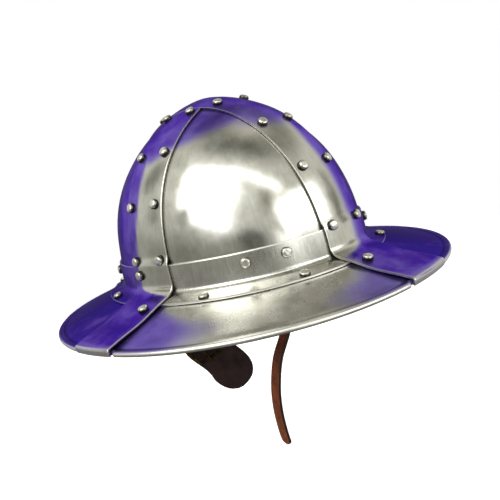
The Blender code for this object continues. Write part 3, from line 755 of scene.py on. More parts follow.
def brim_lift(share):
    """A strip's lift over the brim: on the brow bands' flanges, dipping past them, and up to the roll."""
    dip = eased(share, BRIM_DIP_START, BRIM_DIP_BOTTOM - BRIM_DIP_START)
    rise = eased(share, BRIM_DIP_BOTTOM, BRIM_DIP_END - BRIM_DIP_BOTTOM)
    return layer_lift(2.0 - (2.0 - BRIM_DIP_LAYER) * (dip - rise))


def crown_angle(side, across):
    """The angle at which a side strip ends, just short of the long strip's edge."""
    reach = STRIP_WIDTH / 2 + GAP
    return last_holding(lambda angle: abs(skull_at_angle(side, across, angle).x) > reach, math.pi / 2)


def strip_line(side, across):
    """The points of a strip's outer face from near the crown to its folded end, at a distance across."""
    lift = layer_lift(2)
    turn_reach = lift + STRIP_BEND_RADIUS
    bottom = skull_at_height(side, across, turn_reach)
    low_angle = math.atan2(turn_reach, math.sqrt(bottom.x**2 + bottom.y**2 - across**2))
    top_angle = math.pi / 2 if side in LENGTHWISE else crown_angle(side, across)
    points = []
    for rise in [*reversed(even_stations(STRIP_RISE_LINES, STRIP_RISE, EDGE_LINE)[2:]), 0.0]:
        point = skull_at_angle(side, across, low_angle + (top_angle - low_angle) * rise)
        points.append(on_skull(point, strip_lift(point)))
    start = points[-1]
    turn_share = share_of(turn_reach)
    end = brim_at_share(side, across, turn_share, lift)
    foot = on_skull(skull_at_height(side, across, 0.0), lift)
    corner = Vector((foot.x, foot.y, lift))
    points += [curve_point(start, corner, end, k / 8) for k in range(1, 9)]
    for k in range(1, STRIP_BRIM_LINES + 1):
        share = turn_share + (STRIP_BRIM_END - turn_share) * k / STRIP_BRIM_LINES
        points.append(brim_at_share(side, across, share, brim_lift(share)))
    edge = brim_at_share(side, across, 1.0)
    up = brim_normal(edge, 1.0)
    outward = outward_along(up)
    centre = edge + outward * (FOLD_REACH - FOLD_RADIUS) + up * (lift - FOLD_RADIUS)
    for angle in range(90, -1, -15):
        turn = math.radians(angle)
        points.append(centre + outward * FOLD_RADIUS * math.cos(turn) + up * FOLD_RADIUS * math.sin(turn))
    for drop in (FOLD_DEPTH - EDGE_LINE, FOLD_DEPTH):
        points.append(edge + outward * FOLD_REACH - up * drop)
    return points


def strips():
    """The long strip over the crown, and the two side strips that end just short of it."""
    columns = [STRIP_WIDTH * (share - 0.5) for share in even_stations(12, STRIP_WIDTH, EDGE_LINE)]
    laid = []
    for side in ("left", "right"):
        lines = [strip_line(side, across) for across in columns]
        laid.append(("strip_" + side, "side_band_" + side, lines))
    lines = [strip_line("front", across)[::-1] + strip_line("back", -across)[1:] for across in columns]
    laid.append(("strip_long", "fore_aft_band", lines))
    return [sheet_piece(name, node, [list(row) for row in zip(*lines)]) for name, node, lines in laid]


def rivet_pattern():
    """The head that every rivet is copied from: a hammered dome, a short upright edge, a flat underside."""
    deselect()
    bpy.ops.mesh.primitive_uv_sphere_add(segments=28, ring_count=16, radius=1.0)
    head = bpy.context.object
    cut = RIVET_UPRIGHT_EDGE
    bpy.ops.object.mode_set(mode="EDIT")
    bpy.ops.mesh.select_all(action="SELECT")
    bpy.ops.mesh.bisect(plane_co=(0, 0, cut), plane_no=(0, 0, 1), clear_inner=True, use_fill=False)
    bpy.ops.mesh.select_all(action="DESELECT")
    bpy.ops.mesh.select_non_manifold(extend=False)
    bpy.ops.mesh.extrude_region_move(TRANSFORM_OT_translate={"value": (0, 0, -cut)})
    bpy.ops.mesh.fill_holes(sides=0)
    bpy.ops.object.mode_set(mode="OBJECT")
    outside(head)
    widest = max(math.hypot(vertex.co.x, vertex.co.y) for vertex in head.data.vertices)
    tallest = max(vertex.co.z for vertex in head.data.vertices)
    # Painted shade: the head darkens towards its foot and clears towards its top
    painted_shade = head.data.attributes.new("painted_shade", "FLOAT", "POINT")
    for index, vertex in enumerate(head.data.vertices):
        rise = vertex.co.z / tallest
        painted_shade.data[index].value = 1.0 - eased(rise, *RIVET_FOOT_SHADE_FADE)
        vertex.co.x *= RIVET_RADIUS / widest
        vertex.co.y *= RIVET_RADIUS / widest
        vertex.co.z = RIVET_HEIGHT * math.sin(rise * math.pi / 2) ** RIVET_ROUNDING
    return head


def standing(point, normal):
    """The placing that stands a thing on a point, along a normal."""
    return Matrix.Translation(point) @ normal.to_track_quat("Z", "Y").to_matrix().to_4x4()


def rivet(pattern, name, point, normal, size, seed):
    """One head, copied with its own mesh, a little dented in its own way, and seated on a point."""
    mesh = pattern.data.copy()
    mesh.name = name
    piece = bpy.data.objects.new(name, mesh)
    bpy.context.scene.collection.objects.link(piece)
    for vertex in mesh.vertices:
        rise = max(vertex.co.z, 0.0) / RIVET_HEIGHT
        dent = noise.noise(vertex.co * RIVET_DENTS_PER_METRE + Vector((seed, 0.0, 0.0)))
        vertex.co.z += (dent * RIVET_DENT - RIVET_FLATTENED) * smooth_step(rise)
        vertex.co.x *= 1.0 - RIVET_OUT_OF_ROUND * rise
    spin = Matrix.Rotation(seed * RIVET_SPIN, 4, "Z")
    mesh.transform(standing(point, normal) @ spin @ Matrix.Scale(size, 4))
    mesh.update()
    smooth_faces(piece, 50.0)
    return piece


def crown_rivet_height(side):
    """The height at which a rivet on a side strip just clears the edge of the long strip."""
    reach = STRIP_WIDTH / 2 + RIVET_RADIUS + CROWN_RIVET_CLEARANCE
    across = RIVET_ROW_SPACING / 2

    def clears(height):
        return skull_halves(height)[0] > across and abs(skull_at_height(side, across, height).x) > reach

    return last_holding(clears, SKULL_HEIGHT)


def strip_rivet_site(side, label, across, height):
    """A rivet on a strip over the skull."""
    point = skull_at_height(side, across, height)
    normal = skull_normal(point)
    return f"{side}_rivet_{label}", point + normal * (strip_lift(point) + SEAT), normal


def strip_rivet_sites(side):
    """The rivets of one strip, each a node's name, a point and a normal: up the skull, and on the brim."""
    lengthwise = side in LENGTHWISE
    shares = LENGTHWISE_RIVET_SHARES if lengthwise else SIDEWAYS_RIVET_SHARES
    heights = [share * SKULL_HEIGHT for share in shares]
    if not lengthwise:
        heights.append(crown_rivet_height(side))
    for number, height in enumerate(heights, 1):
        yield strip_rivet_site(side, f"{number}a", -RIVET_ROW_SPACING / 2, height)
        yield strip_rivet_site(side, f"{number}b", RIVET_ROW_SPACING / 2, height)
    share = BRIM_RIVET_SHARE
    point = brim_at_share(side, -BRIM_RIVET_OFFSET if lengthwise else BRIM_RIVET_OFFSET, share)
    normal = brim_normal(point, share)
    lift = brim_lift(share - share_of(RIVET_RADIUS)) + SEAT
    yield f"{side}_rivet_brim", point + normal * lift, normal
    if not lengthwise:
        across = STRAP_SEAT if side == "left" else -STRAP_SEAT
        yield strip_rivet_site(side, "strap", across, STRAP_HEAD_SHARE * SKULL_HEIGHT)


def brow_rivet_sites(quarter):
    """The rivets of one brow band, each a point and a normal: two on its wall and two on its flange."""
    height = BROW_RIVET_HEIGHT
    share = BROW_FLANGE_RIVET_SHARE
    for azimuth in BROW_WALL_RIVET_AZIMUTHS:
        point = quarter_point(quarter, skull_halves(height), math.radians(azimuth), height)
        normal = skull_normal(point)
        yield point + normal * layer_lift(1), normal
    for azimuth in BROW_FLANGE_RIVET_AZIMUTHS:
        point = quarter_point(quarter, brim_halves(share), math.radians(azimuth), -BRIM_DROP * share)
        normal = brim_normal(point, share)
        yield point + normal * layer_lift(1), normal


def rivets():
    """All the heads: up the strips and on their brim ends, on the brow bands, and at the straps' roots."""
    pattern = rivet_pattern()
    made = []

    def add(name, point, normal, *nodes, size=RIVET_TRIM):
        piece = rivet(pattern, "head_" + name, point, normal, size, len(made))
        seat(piece, "rivet_steel", *nodes)
        made.append(piece)

    for side in SIDES:
        for node, point, normal in strip_rivet_sites(side):
            add(node, point, normal, node)
    for quarter in QUARTERS:
        for number, (point, normal) in enumerate(brow_rivet_sites(quarter), 1):
            add(f"brow_{quarter}_{number}", point, normal)
    for node, width, sign in (
        ("chin_strap_rivet", STRAP_WIDTH, 1), ("buckle_strap_rivet", BUCKLE_STRAP_WIDTH, -1)
    ):
        reach = strap_wall(width) - STRAP_THICKNESS - SEAT
        point = Vector((sign * reach, STRAP_SEAT, STRAP_RIVET_RISE))
        add(node, point, Vector((-sign, 0.0, 0.0)), node, size=STRAP_RIVET_RADIUS / RIVET_RADIUS)
    bpy.data.objects.remove(pattern, do_unlink=True)
    return made


def smooth_route(route, steps):
    """Points along a smooth curve through a route's own points."""
    points = [Vector(point) for point in route]
    ends = [points[0] * 2 - points[1], *points, points[-1] * 2 - points[-2]]
    made = []
    spans = len(points) - 1
    for k in range(steps + 1):
        place = min(k * spans / steps, spans - 1e-9)
        span = int(place)
        t = place - span
        a, b, c, d = ends[span : span + 4]
        made.append(
            (b * 2 + (c - a) * t + (a * 2 - b * 5 + c * 4 - d) * t**2 + (b * 3 - a - c * 3 + d) * t**3) / 2
        )
    return made


def strap_wall(width):
    """How far from the middle plane a strap's back lies, flat against the inside of the curved wall."""
    edge = STRAP_SEAT + width / 2
    return SKULL_HALF_WIDTH * math.sqrt(1.0 - (edge / SKULL_HALF_LENGTH) ** 2) - SHEET - STRAP_GAP


def strap_frames(route, sign, root_width, turn, steps):
    """Places along a strap, each with its direction, its width's direction and its face's direction."""
    wall = strap_wall(root_width) - STRAP_THICKNESS / 2
    points = [Vector((sign * (wall - p.x), p.y, p.z)) for p in smooth_route(route, steps)]
    frames = []
    for k, point in enumerate(points):
        ahead = points[min(k + 1, len(points) - 1)]
        behind = points[max(k - 1, 0)]
        along = (ahead - behind).normalized()
        angle = math.radians(turn) * eased(k / steps, TURN_START, TURN_LENGTH)
        width = Vector((sign * math.sin(angle), math.cos(angle), 0.0))
        width = (width - along * width.dot(along)).normalized()
        frames.append((point, along, width, width.cross(along).normalized()))
    return frames


def route_length(frames):
    """How long a strap is."""
    return running_lengths([frame[0] for frame in frames])[-1]


def round_end(share, length, radius):
    """How much of its width a strap keeps near a round end of a radius."""
    left = (1.0 - share) * length
    if left >= radius:
        return 1.0
    return math.sqrt(max(1.0 - (1.0 - left / radius) ** 2, 0.02))


def strap_piece(name, frames, half_width, across_stations):
    """A strap cut from thick leather, its face laid along the frames and its edges rounded."""
    points = []
    steps = len(frames) - 1
    for k, (point, _, width, normal) in enumerate(frames):
        half = half_width(k / steps)
        middle = point + normal * STRAP_THICKNESS / 2
        points.append([middle + width * half * (2.0 * share - 1.0) for share in across_stations])
    piece = laid_grid(name, points)
    face_toward(piece, frames[steps // 2][3])
    thicken(piece, STRAP_THICKNESS, STRAP_EDGE_ROUND, 40.0)
    return piece


def chin_strap():
    """The long strap, with its row of punched holes."""
    frames = strap_frames(CHIN_ROUTE, 1, STRAP_WIDTH, CHIN_TURN, CHIN_STEPS)
    length = route_length(frames)

    def half_width(share):
        return STRAP_WIDTH / 2 * round_end(share, length, STRAP_WIDTH / 2)

    stations = even_stations(6, STRAP_WIDTH, LEATHER_EDGE_LINE)
    piece = strap_piece("strap_chin", frames, half_width, stations)
    for number in range(HOLE_COUNT):
        share = 1.0 - (FIRST_HOLE + HOLE_SPACING * number) / length
        point, _, _, normal = frames[round(share * CHIN_STEPS)]
        deselect()
        bpy.ops.mesh.primitive_cylinder_add(vertices=20, radius=HOLE_RADIUS, depth=PUNCH_LENGTH)
        punch = bpy.context.object
        punch.data.transform(standing(point, normal))
        cut = piece.modifiers.new("hole", "BOOLEAN")
        cut.operation = "DIFFERENCE"
        cut.object = punch
        apply_all(piece)
        bpy.data.objects.remove(punch, do_unlink=True)
    smooth_faces(piece, 40.0)
    seat(piece, "red_brown_leather", "chin_strap")
    return piece


def buckle_strap():
    """The short dark strap with its wide round flap, and the buckle's loop, tongue and tab on it."""
    frames = strap_frames(BUCKLE_ROUTE, -1, BUCKLE_STRAP_WIDTH, FLAP_TURN, FLAP_STEPS)
    length = route_length(frames)

    def half_width(share):
        spread = eased(share, FLAP_START, FLAP_SPREAD)
        half = BUCKLE_STRAP_WIDTH / 2 + (FLAP_WIDTH - BUCKLE_STRAP_WIDTH) / 2 * spread
        return half * round_end(share, length, FLAP_WIDTH / 2)

    stations = even_stations(10, FLAP_WIDTH, LEATHER_EDGE_LINE)
    piece = strap_piece("strap_buckle", frames, half_width, stations)
    seat(piece, "dark_leather", "buckle_strap")
    point, along, width, normal = frames[round(BUCKLE_STATION * FLAP_STEPS)]
    if normal.y > 0.0:
        normal = -normal

    def place(across, down, out):
        return point + width * across + along * down + normal * out

    bar_height = STRAP_THICKNESS / 2 + TAB_GAP + TAB_THICKNESS + SEAT + BUCKLE_WIRE_RADIUS
    made = [make(place, bar_height) for make in (buckle_frame, buckle_tongue, buckle_tab)]
    return piece, *made


def buckle_frame(place, height):
    """A round-cornered loop of wire, its nearer bar on the strap's station."""
    sides = 14
    corner_steps = 8
    half_width = BUCKLE_FRAME_WIDTH / 2 - BUCKLE_WIRE_RADIUS
    half_length = BUCKLE_FRAME_LENGTH / 2 - BUCKLE_WIRE_RADIUS
    path = []
    for k, (sign_x, sign_y) in enumerate(((1, 1), (-1, 1), (-1, -1), (1, -1))):
        centre_x = sign_x * (half_width - BUCKLE_CORNER_RADIUS)
        centre_y = sign_y * (half_length - BUCKLE_CORNER_RADIUS)
        for j in range(corner_steps + 1):
            turn = math.radians(90.0 * k + 90.0 * j / corner_steps)
            outward = Vector((math.cos(turn), math.sin(turn)))
            path.append((Vector((centre_x, centre_y)) + outward * BUCKLE_CORNER_RADIUS, outward))
    deselect()
    bpy.ops.mesh.primitive_torus_add(major_segments=len(path), minor_segments=sides)
    piece = bpy.context.object
    piece.name = "buckle_loop"
    piece.data.name = "buckle_loop"
    for index, vertex in enumerate(piece.data.vertices):
        major, minor = divmod(index, sides)
        centre, outward = path[major]
        turn = 2.0 * math.pi * minor / sides
        off = outward * BUCKLE_WIRE_RADIUS * math.cos(turn)
        lift = height + BUCKLE_WIRE_RADIUS * math.sin(turn)
        vertex.co = place(centre.x + off.x, half_length + centre.y + off.y, lift)
    outside(piece)
    smooth_faces(piece, 60.0)
    seat(piece, "brass", "buckle_frame")
    return piece


def buckle_tongue(place, bar_height):
    """The tongue, from the tab across to the frame's far bar."""
    start = BUCKLE_WIRE_RADIUS + SEAT + TAB_THICKNESS + SEAT
    end = BUCKLE_FRAME_LENGTH - BUCKLE_WIRE_RADIUS
    over_bar = bar_height + BUCKLE_WIRE_RADIUS + SEAT
    rows = (
        (start, bar_height),
        ((start + end) / 2, (bar_height + over_bar) / 2),
        (end - TONGUE_REST, over_bar),
        (end + BUCKLE_WIRE_RADIUS, over_bar),
    )
    points = []
    for (down, lift), share in zip(rows, TONGUE_TAPER):
        half = TONGUE_WIDTH / 2 * share
        points.append([place(half * side, down, lift + TONGUE_THICKNESS) for side in (-1.0, 0.0, 1.0)])
    piece = laid_grid("buckle_pin", points)
    face_toward(piece, place(0.0, 0.0, 1.0) - place(0.0, 0.0, 0.0))
    thicken(piece, TONGUE_THICKNESS, TONGUE_EDGE_ROUND, 60.0)
    seat(piece, "brass", "buckle_tongue")
    return piece


def buckle_tab(place, bar_height):
    """A leather tab folded round the frame's nearer bar, its ends up the strap."""
    outer = BUCKLE_WIRE_RADIUS + SEAT + TAB_THICKNESS
    section = [(-TAB_LENGTH * (1.0 - k / 6), bar_height - outer) for k in range(6)]
    for angle in range(-90, 91, 15):
        turn = math.radians(angle)
        section.append((outer * math.cos(turn), bar_height + outer * math.sin(turn)))
    section += [(-TAB_LENGTH * k / 6, bar_height + outer) for k in range(1, 7)]
    stations = even_stations(6, TAB_WIDTH, LEATHER_EDGE_LINE)
    points = [[place(TAB_WIDTH * (share - 0.5), down, lift) for share in stations] for down, lift in section]
    piece = laid_grid("strap_tab", points)
    bar = place(0.0, 0.0, bar_height)
    if sum(face.normal.dot(face.center - bar) for face in piece.data.polygons) < 0.0:
        piece.data.flip_normals()
    thicken(piece, TAB_THICKNESS, TAB_EDGE_ROUND, 40.0)
    seat(piece, "dark_leather", "buckle_tab")
    return piece


def dye_at(point):
    """How strongly a point of the hat is dyed, from 0 for bare steel to 1."""
    x, y, z = point
    inward = math.copysign(min(abs(x), abs(y)), x * y)
    ring = math.hypot(x / SKULL_HALF_WIDTH, y / SKULL_HALF_LENGTH)
    over_bend = eased(ring, *DYE_OVER_BEND)
    out = eased(ring, *DYE_OUT)
    lengthwise = smooth_step((abs(y) - abs(x)) / DYE_LENGTHWISE + 0.5)
    slow = noise.noise(Vector(point) * DYE_WAVES_PER_METRE)
    beside = LINE_BESIDE + LINE_BESIDE_LOW * (1.0 - min(max(z / LINE_LOW_HEIGHT, 0.0), 1.0))
    line = (beside * (1.0 - lengthwise) + LINE_LENGTHWISE * lengthwise) * (1.0 - over_bend)
    line += LINE_OVER_BEND * over_bend + (LINE_OUT + LINE_OUT_LENGTHWISE * lengthwise) * out
    soft = SOFT + SOFT_LENGTHWISE * lengthwise + SOFT_OVER_BEND * over_bend
    soft += SOFT_OUT * eased(ring, *DYE_SOFTER)
    waver = slow * (WAVER + WAVER_OUT * out)
    quarter = 1.0 - smooth_step((inward - line + waver) / (2.0 * soft) + 0.5)
    thinner = PAST_STRIP_THINNER + PAST_STRIP_THINNER_LENGTHWISE * lengthwise
    quarter *= 1.0 - thinner * eased(inward, *DYE_STRIP_EDGE)
    crown_line = min(height + slope * abs(y) for height, slope in CROWN_DYE)
    crown = smooth_step((z + slow * WAVER - crown_line) / CROWN_DYE_SOFTNESS + 0.5)
    lightening = RIM_RUBBED * eased(math.hypot(x / BRIM_HALF_WIDTH, y / BRIM_HALF_LENGTH), *RIM_RUB)
    return max(quarter, crown) * (1.0 - SKULL_DYE_THINNER * (1.0 - over_bend)) * (1.0 - lightening)


def mark_dye(pieces):
    """Marks each point of the sheets with its dye."""
    for piece in pieces:
        dye = piece.data.attributes.new("dye", "FLOAT", "POINT")
        for index, vertex in enumerate(piece.data.vertices):
            dye.data[index].value = dye_at(vertex.co)


def colour(code):
    """Linear red, green and blue, and alpha, from an sRGB hex value."""
    made = []
    for k in (1, 3, 5):
        value = int(code[k : k + 2], 16) / 255.0
        made.append(value / 12.92 if value <= 0.04045 else ((value + 0.055) / 1.055) ** 2.4)
    return (*made, 1.0)


def set_inputs(tree, node, inputs):
    """Gives inputs of a node a value, or a link from another node's output."""
    for key, value in inputs.items():
        socket = node.inputs[key]
        if isinstance(value, bpy.types.NodeSocket):
            tree.links.new(value, socket)
        else:
            socket.default_value = value


def add_node(tree, kind, inputs=None, **settings):
    """A node with its settings; each input is a value or another node's output."""
    node = tree.nodes.new(kind)
    for key, value in settings.items():
        setattr(node, key, value)
    set_inputs(tree, node, inputs or {})
    return node


def noise_of(tree, place, scale, detail, roughness=0.5):
    """A noise over a place's coordinates."""
    inputs = {"Vector": place, "Scale": scale, "Detail": detail, "Roughness": roughness}
    return add_node(tree, "ShaderNodeTexNoise", inputs).outputs["Fac"]


def attribute(tree, name):
    """What a piece's points are marked with."""
    return add_node(tree, "ShaderNodeAttribute", attribute_name=name).outputs["Fac"]


def arithmetic(tree, operation, *inputs):
    """One step of arithmetic."""
    return add_node(tree, "ShaderNodeMath", dict(enumerate(inputs)), operation=operation).outputs[0]


def ranged(tree, value, to_min, to_max, from_min=0.0, from_max=1.0, **settings):
    """A value of one range brought to another."""
    inputs = {"Value": value, "From Min": from_min, "From Max": from_max, "To Min": to_min, "To Max": to_max}
    return add_node(tree, "ShaderNodeMapRange", inputs, **settings).outputs["Result"]


def toned(tree, value, *stops):
    """A colour that follows a value, through stops that are each a value and a hex value."""
    node = add_node(tree, "ShaderNodeValToRGB", {"Fac": value})
    made = node.color_ramp.elements
    for element, (position, code) in ((made[0], stops[0]), (made[1], stops[-1])):
        element.position = position
        element.color = colour(code)
    for position, code in stops[1:-1]:
        made.new(position).color = colour(code)
    return node.outputs["Color"]


def blended(tree, share, first, second):
    """A colour that goes from the first to the second with a share."""
    inputs = {"Factor": share, "A": first, "B": second}
    return add_node(tree, "ShaderNodeMix", inputs, data_type="RGBA").outputs["Result"]


def raised(tree, height, strength, distance, **more):
    """Fine relief for a shader's normal."""
    inputs = {"Height": height, "Strength": strength, "Distance": distance, **more}
    return add_node(tree, "ShaderNodeBump", inputs).outputs["Normal"]


def new_material(name):
    """A material, its nodes and its shader."""
    made = bpy.data.materials.new(name)
    made.use_nodes = True
    tree = made.node_tree
    return made, tree, tree.nodes["Principled BSDF"]


def polished_steel(name, grain, roughness, marks_depth, dye_strength=0.0):
    """Mild steel sheet, finished by grinding and polishing: a soft mirror with fine brush marks, violet where
    it is dyed.
    Its edges are lightened as partly real wear and partly painted highlight, the roll's top by painted
    highlight, and the groove and the roll's underside are darkened by painted shade.

    The grain stretches the brush marks: the first number is across the piece, the second along it. Deeper
    marks scatter more light across them. A dye strength over 0 makes the violet deeper.
    """
    made, tree, shader = new_material(name)
    place = add_node(tree, "ShaderNodeTexCoord")
    brush_place = add_node(tree, "ShaderNodeMapping", {"Vector": place.outputs["UV"], "Scale": (*grain, 1.0)})
    brush = noise_of(tree, brush_place.outputs["Vector"], 1.0, 4.0, 0.65)
    smudge = noise_of(tree, place.outputs["Object"], 38.0, 5.0, 0.6)
    # The dye, worn in smudges and streaks
    dye = attribute(tree, "dye")
    worn = arithmetic(tree, "MULTIPLY_ADD", arithmetic(tree, "SUBTRACT", smudge, 0.5), 0.45, dye)
    streak = arithmetic(tree, "MULTIPLY_ADD", brush, 0.16, worn)
    cover = ranged(tree, streak, 0.0, 1.0, 0.12, 0.94, interpolation_type="SMOOTHSTEP")
    thin = ranged(tree, dye, 0.9 - dye_strength, -dye_strength)
    depth = arithmetic(tree, "ADD", smudge, thin)
    violet = toned(tree, depth, (0.40, "#573bab"), (0.74, "#8b7ad0"))
    # The steel, its edges lightened as partly real wear and partly painted highlight, the roll's top
    # lightened as painted highlight, and the groove and the roll's underside darkened as painted shade
    tone_inputs = {0: min(3.0 * marks_depth, 0.6), 2: smudge, 3: brush}
    tone = add_node(tree, "ShaderNodeMix", tone_inputs, data_type="FLOAT").outputs[0]
    steel = toned(tree, tone, (0.36, "#bfbeb5"), (0.64, "#e0dfd9"))
    metal = blended(tree, cover, steel, violet)
    edge = attribute(tree, "edge")
    # Painted highlight, partly real edge wear: lighter towards #f4f3ee along the edge mark, less where dyed
    lightening = arithmetic(tree, "MULTIPLY", edge, ranged(tree, cover, 0.70, 0.35))
    metal_with_light_edges = blended(tree, lightening, metal, colour("#f4f3ee"))
    dull = ranged(tree, smudge, roughness - 0.03, roughness + 0.07, 0.3, 0.75)
    set_inputs(tree, shader, {
        # Painted shade: darker towards #33322d in the groove and under the roll
        "Base Color": blended(tree, attribute(tree, "painted_shade"), metal_with_light_edges, colour("#33322d")),
        "Metallic": ranged(tree, cover, 1.0, DYE_METALLIC),
        "Roughness": arithmetic(tree, "MULTIPLY_ADD", edge, 0.16, dull),
        "Specular Tint": blended(tree, cover, colour("#ffffff"), colour("#8f76da")),
        "Normal": raised(tree, brush, marks_depth, 0.0004),
    })
    return made


def shaded_cut_edge_steel():
    """The cut edge of the sheet, filed square and left dull, and darker than the faces as painted shade, so
    it draws a dark line beside each strip.
    """
    made, tree, shader = new_material("cut_edge_steel_painted_shade")
    place = add_node(tree, "ShaderNodeTexCoord")
    file_marks = noise_of(tree, place.outputs["Object"], 600.0, 3.0)
    # Painted shade: the cut edge's steel is darker, #65635a to #a3a197
    metal = toned(tree, file_marks, (0.0, "#65635a"), (1.0, "#a3a197"))
    set_inputs(tree, shader, {"Base Color": metal, "Metallic": 1.0, "Roughness": 0.36})
    return made


def rivet_steel():
    """Cold-headed steel rivets of bright steel, darkened towards the foot of each head as painted shade."""
    made, tree, shader = new_material("rivet_steel")
    place = add_node(tree, "ShaderNodeTexCoord")
    hammer = noise_of(tree, place.outputs["Object"], 700.0, 3.0)
    set_inputs(tree, shader, {
        # Painted shade: each head darkens towards #3a382f round its foot
        "Base Color": blended(tree, attribute(tree, "painted_shade"), colour("#d3d1c7"), colour("#3a382f")),
        "Metallic": 0.92,
        "Roughness": 0.28,
        "Normal": raised(tree, hammer, 0.25, 0.0003),
    })
    return made


def bridle_leather(name, dark, light, edge_colour, roughness):
    """Vegetable-tanned cowhide, dyed and waxed: fine pores, a soft sheen, and darker burnished edges."""
    made, tree, shader = new_material(name)
    place = add_node(tree, "ShaderNodeTexCoord")
    grain = add_node(tree, "ShaderNodeTexVoronoi", {"Vector": place.outputs["Object"], "Scale": 900.0})
    cloud = noise_of(tree, place.outputs["Object"], 110.0, 5.0, 0.6)
    hide = toned(tree, cloud, (0.32, dark), (0.70, light))
    pores = raised(tree, grain.outputs["Distance"], 0.35, 0.0003)
    set_inputs(tree, shader, {
        "Base Color": blended(tree, attribute(tree, "edge"), hide, colour(edge_colour)),
        "Metallic": 0.0,
        "IOR": 1.5,
        "Specular IOR Level": 0.18,
        "Roughness": ranged(tree, cloud, roughness - 0.08, roughness + 0.12),
        "Normal": raised(tree, cloud, 0.30, 0.0008, Normal=pores),
    })
    return made


def tarnished_brass():
    """Cast brass, dull and dark yellow-brown, lighter and darker in random patches."""
    made, tree, shader = new_material("tarnished_brass")
    place = add_node(tree, "ShaderNodeTexCoord")
    cloud = noise_of(tree, place.outputs["Object"], 260.0, 4.0)
    metal = toned(tree, cloud, (0.35, "#171008"), (0.68, "#54431f"))
    set_inputs(tree, shader, {"Base Color": metal, "Metallic": 1.0, "Roughness": 0.32})
    return made


def dress(pieces, finish, cut_edge_material=None):
    """Gives pieces their material, and another one to their cut edges."""
    for piece in pieces:
        if len(piece.data.materials) == 2:
            piece.data.materials[0] = finish
            piece.data.materials[1] = cut_edge_material or finish
        else:
            piece.data.materials.clear()
            piece.data.materials.append(finish)


def direction(azimuth, elevation):
    """The direction at an azimuth and elevation in the camera's own axes."""
    a = math.radians(azimuth)
    e = math.radians(elevation)
    level = CAMERA_RIGHT * math.sin(a) + CAMERA_BACK * math.cos(a)
    return level * math.cos(e) + CAMERA_UP * math.sin(e)


def placing(place, *axes):
    """The placing of a thing by its place and its three axes."""
    return Matrix.Translation(place) @ Matrix(axes).transposed().to_4x4()


def softboxes():
    """Large soft lights, far enough off that each part of the hat mirrors them in the same direction."""
    for name, azimuth, elevation, half_width, half_height, tilt, brightness in SOFTBOXES:
        toward = direction(azimuth, elevation)
        light = bpy.data.lights.new(name, "AREA")
        light.shape = "RECTANGLE"
        light.size = 2.0 * LIGHT_DISTANCE * math.tan(math.radians(half_width))
        light.size_y = 2.0 * LIGHT_DISTANCE * math.tan(math.radians(half_height))
        light.energy = brightness * math.pi * light.size * light.size_y
        item = bpy.data.objects.new(name, light)
        turn = Matrix.Rotation(math.radians(tilt), 3, toward)
        right = turn @ CAMERA_UP.cross(toward).normalized()
        item.matrix_world = placing(HAT_MIDDLE + toward * LIGHT_DISTANCE, right, toward.cross(right), toward)
        item.visible_camera = False
        bpy.context.scene.collection.objects.link(item)


def dark_cards():
    """Grey cards that only the steel mirrors, for the darker places between the lights."""
    for name, azimuth, elevation, half_width, half_height, grey in DARK_CARDS:
        toward = direction(azimuth, elevation)
        deselect()
        bpy.ops.mesh.primitive_circle_add(vertices=48, radius=1.0, fill_type="NGON")
        card = bpy.context.object
        card.name = name
        right = CAMERA_UP.cross(toward).normalized()
        wide = right * CARD_DISTANCE * math.tan(math.radians(half_width))
        tall = toward.cross(right) * CARD_DISTANCE * math.tan(math.radians(half_height))
        card.data.transform(placing(HAT_MIDDLE + toward * CARD_DISTANCE, wide, tall, toward))
        made, tree, shader = new_material(name)
        glow = {"Base Color": BLACK, "Emission Color": colour(grey), "Emission Strength": 1.0}
        set_inputs(tree, shader, glow)
        card.data.materials.append(made)
        card.visible_camera = False
        card.visible_diffuse = False
        card.visible_shadow = False


def room():
    """A white backdrop for the camera, and a grey-olive room that the steel mirrors."""
    world = bpy.data.worlds.new("studio")
    world.use_nodes = True
    bpy.context.scene.world = world
    tree = world.node_tree
    shown = tree.nodes["Background"]
    shown.inputs["Color"].default_value = WHITE
    place = add_node(tree, "ShaderNodeTexCoord").outputs["Generated"]

    def along(axis):
        inputs = {0: place, 1: tuple(axis)}
        return add_node(tree, "ShaderNodeVectorMath", inputs, operation="DOT_PRODUCT").outputs["Value"]

    level = ranged(tree, along(CAMERA_UP), 0.0, 1.0, -1.0, 1.0)
    stops = [((math.sin(math.radians(angle)) + 1.0) / 2.0, code) for angle, code in ROOM_TONES]
    strength = ranged(
        tree, along(CAMERA_BACK), ROOM_BRIGHTNESS * FAR_WALL_SHARE, ROOM_BRIGHTNESS, -0.97, -0.62,
        interpolation_type="SMOOTHSTEP",
    )
    inputs = {"Color": toned(tree, level, *stops), "Strength": strength}
    mirrored = add_node(tree, "ShaderNodeBackground", inputs).outputs["Background"]
    seen = add_node(tree, "ShaderNodeLightPath").outputs["Is Camera Ray"]
    either = add_node(tree, "ShaderNodeMixShader", {0: seen, 1: mirrored, 2: shown.outputs["Background"]})
    set_inputs(tree, tree.nodes["World Output"], {"Surface": either.outputs["Shader"]})


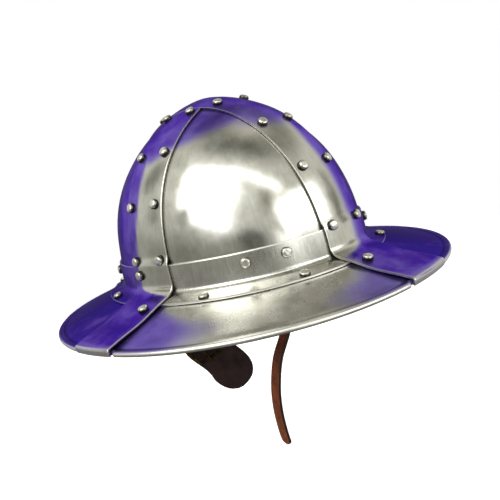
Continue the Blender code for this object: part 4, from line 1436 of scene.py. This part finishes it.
def pale_floor():
    """A plain pale floor."""
    deselect()
    bpy.ops.mesh.primitive_plane_add(size=3.0, location=(0.0, 0.0, FLOOR_HEIGHT))
    floor = bpy.context.object
    floor.name = "floor"
    floor.visible_glossy = False
    made, tree, shader = new_material("pale_floor")
    set_inputs(tree, shader, {
        "Base Color": colour("#f4f4f2"), "Roughness": 0.9, "Emission Color": WHITE, "Emission Strength": 0.6,
    })
    floor.data.materials.append(made)


def camera():
    """The photograph's own view, leaning a little to the left."""
    lens = bpy.data.cameras.new("camera")
    lens.sensor_width = 36.0
    lens.lens = CAMERA_LENS
    item = bpy.data.objects.new("camera", lens)
    item.matrix_world = placing(CAMERA_PLACE, CAMERA_RIGHT, CAMERA_UP, CAMERA_BACK)
    bpy.context.scene.collection.objects.link(item)
    bpy.context.scene.camera = item


def main():
    camera()
    room()
    pale_floor()
    softboxes()
    dark_cards()
    bpy.context.scene.view_settings.view_transform = "Standard"
    skulls = [skull_plate(quarter, 3.0 + k) for k, quarter in enumerate(QUARTERS)]
    brims = [brim_plate(quarter, 11.0 + k) for k, quarter in enumerate(QUARTERS)]
    brows = [brow_band(quarter, 23.0 + k) for k, quarter in enumerate(QUARTERS)]
    bands = strips()
    mark_dye(skulls + brims + brows + bands)
    dress(skulls, polished_steel("buffed_skull_steel", (60.0, 9.0), 0.19, 0.07))
    dress(brims, polished_steel("buffed_brim_steel", (9.0, 60.0), 0.25, 0.06, 0.12))
    dress(brows, polished_steel("brushed_brow_steel", (110.0, 6.0), 0.25, 0.18))
    # The strips' cut edges take the darker steel, painted shade beside each strip
    dress(bands, polished_steel("buffed_strip_steel", (80.0, 6.0), 0.20, 0.09), shaded_cut_edge_steel())
    dress(rivets(), rivet_steel())
    dress([chin_strap()], bridle_leather("red_brown_leather", "#4e200b", "#763914", "#1c0a05", 0.50))
    strap, loop, pin, tab = buckle_strap()
    dress([strap, tab], bridle_leather("dark_brown_leather", "#100607", "#261413", "#070303", 0.50))
    dress([loop, pin], tarnished_brass())


main()
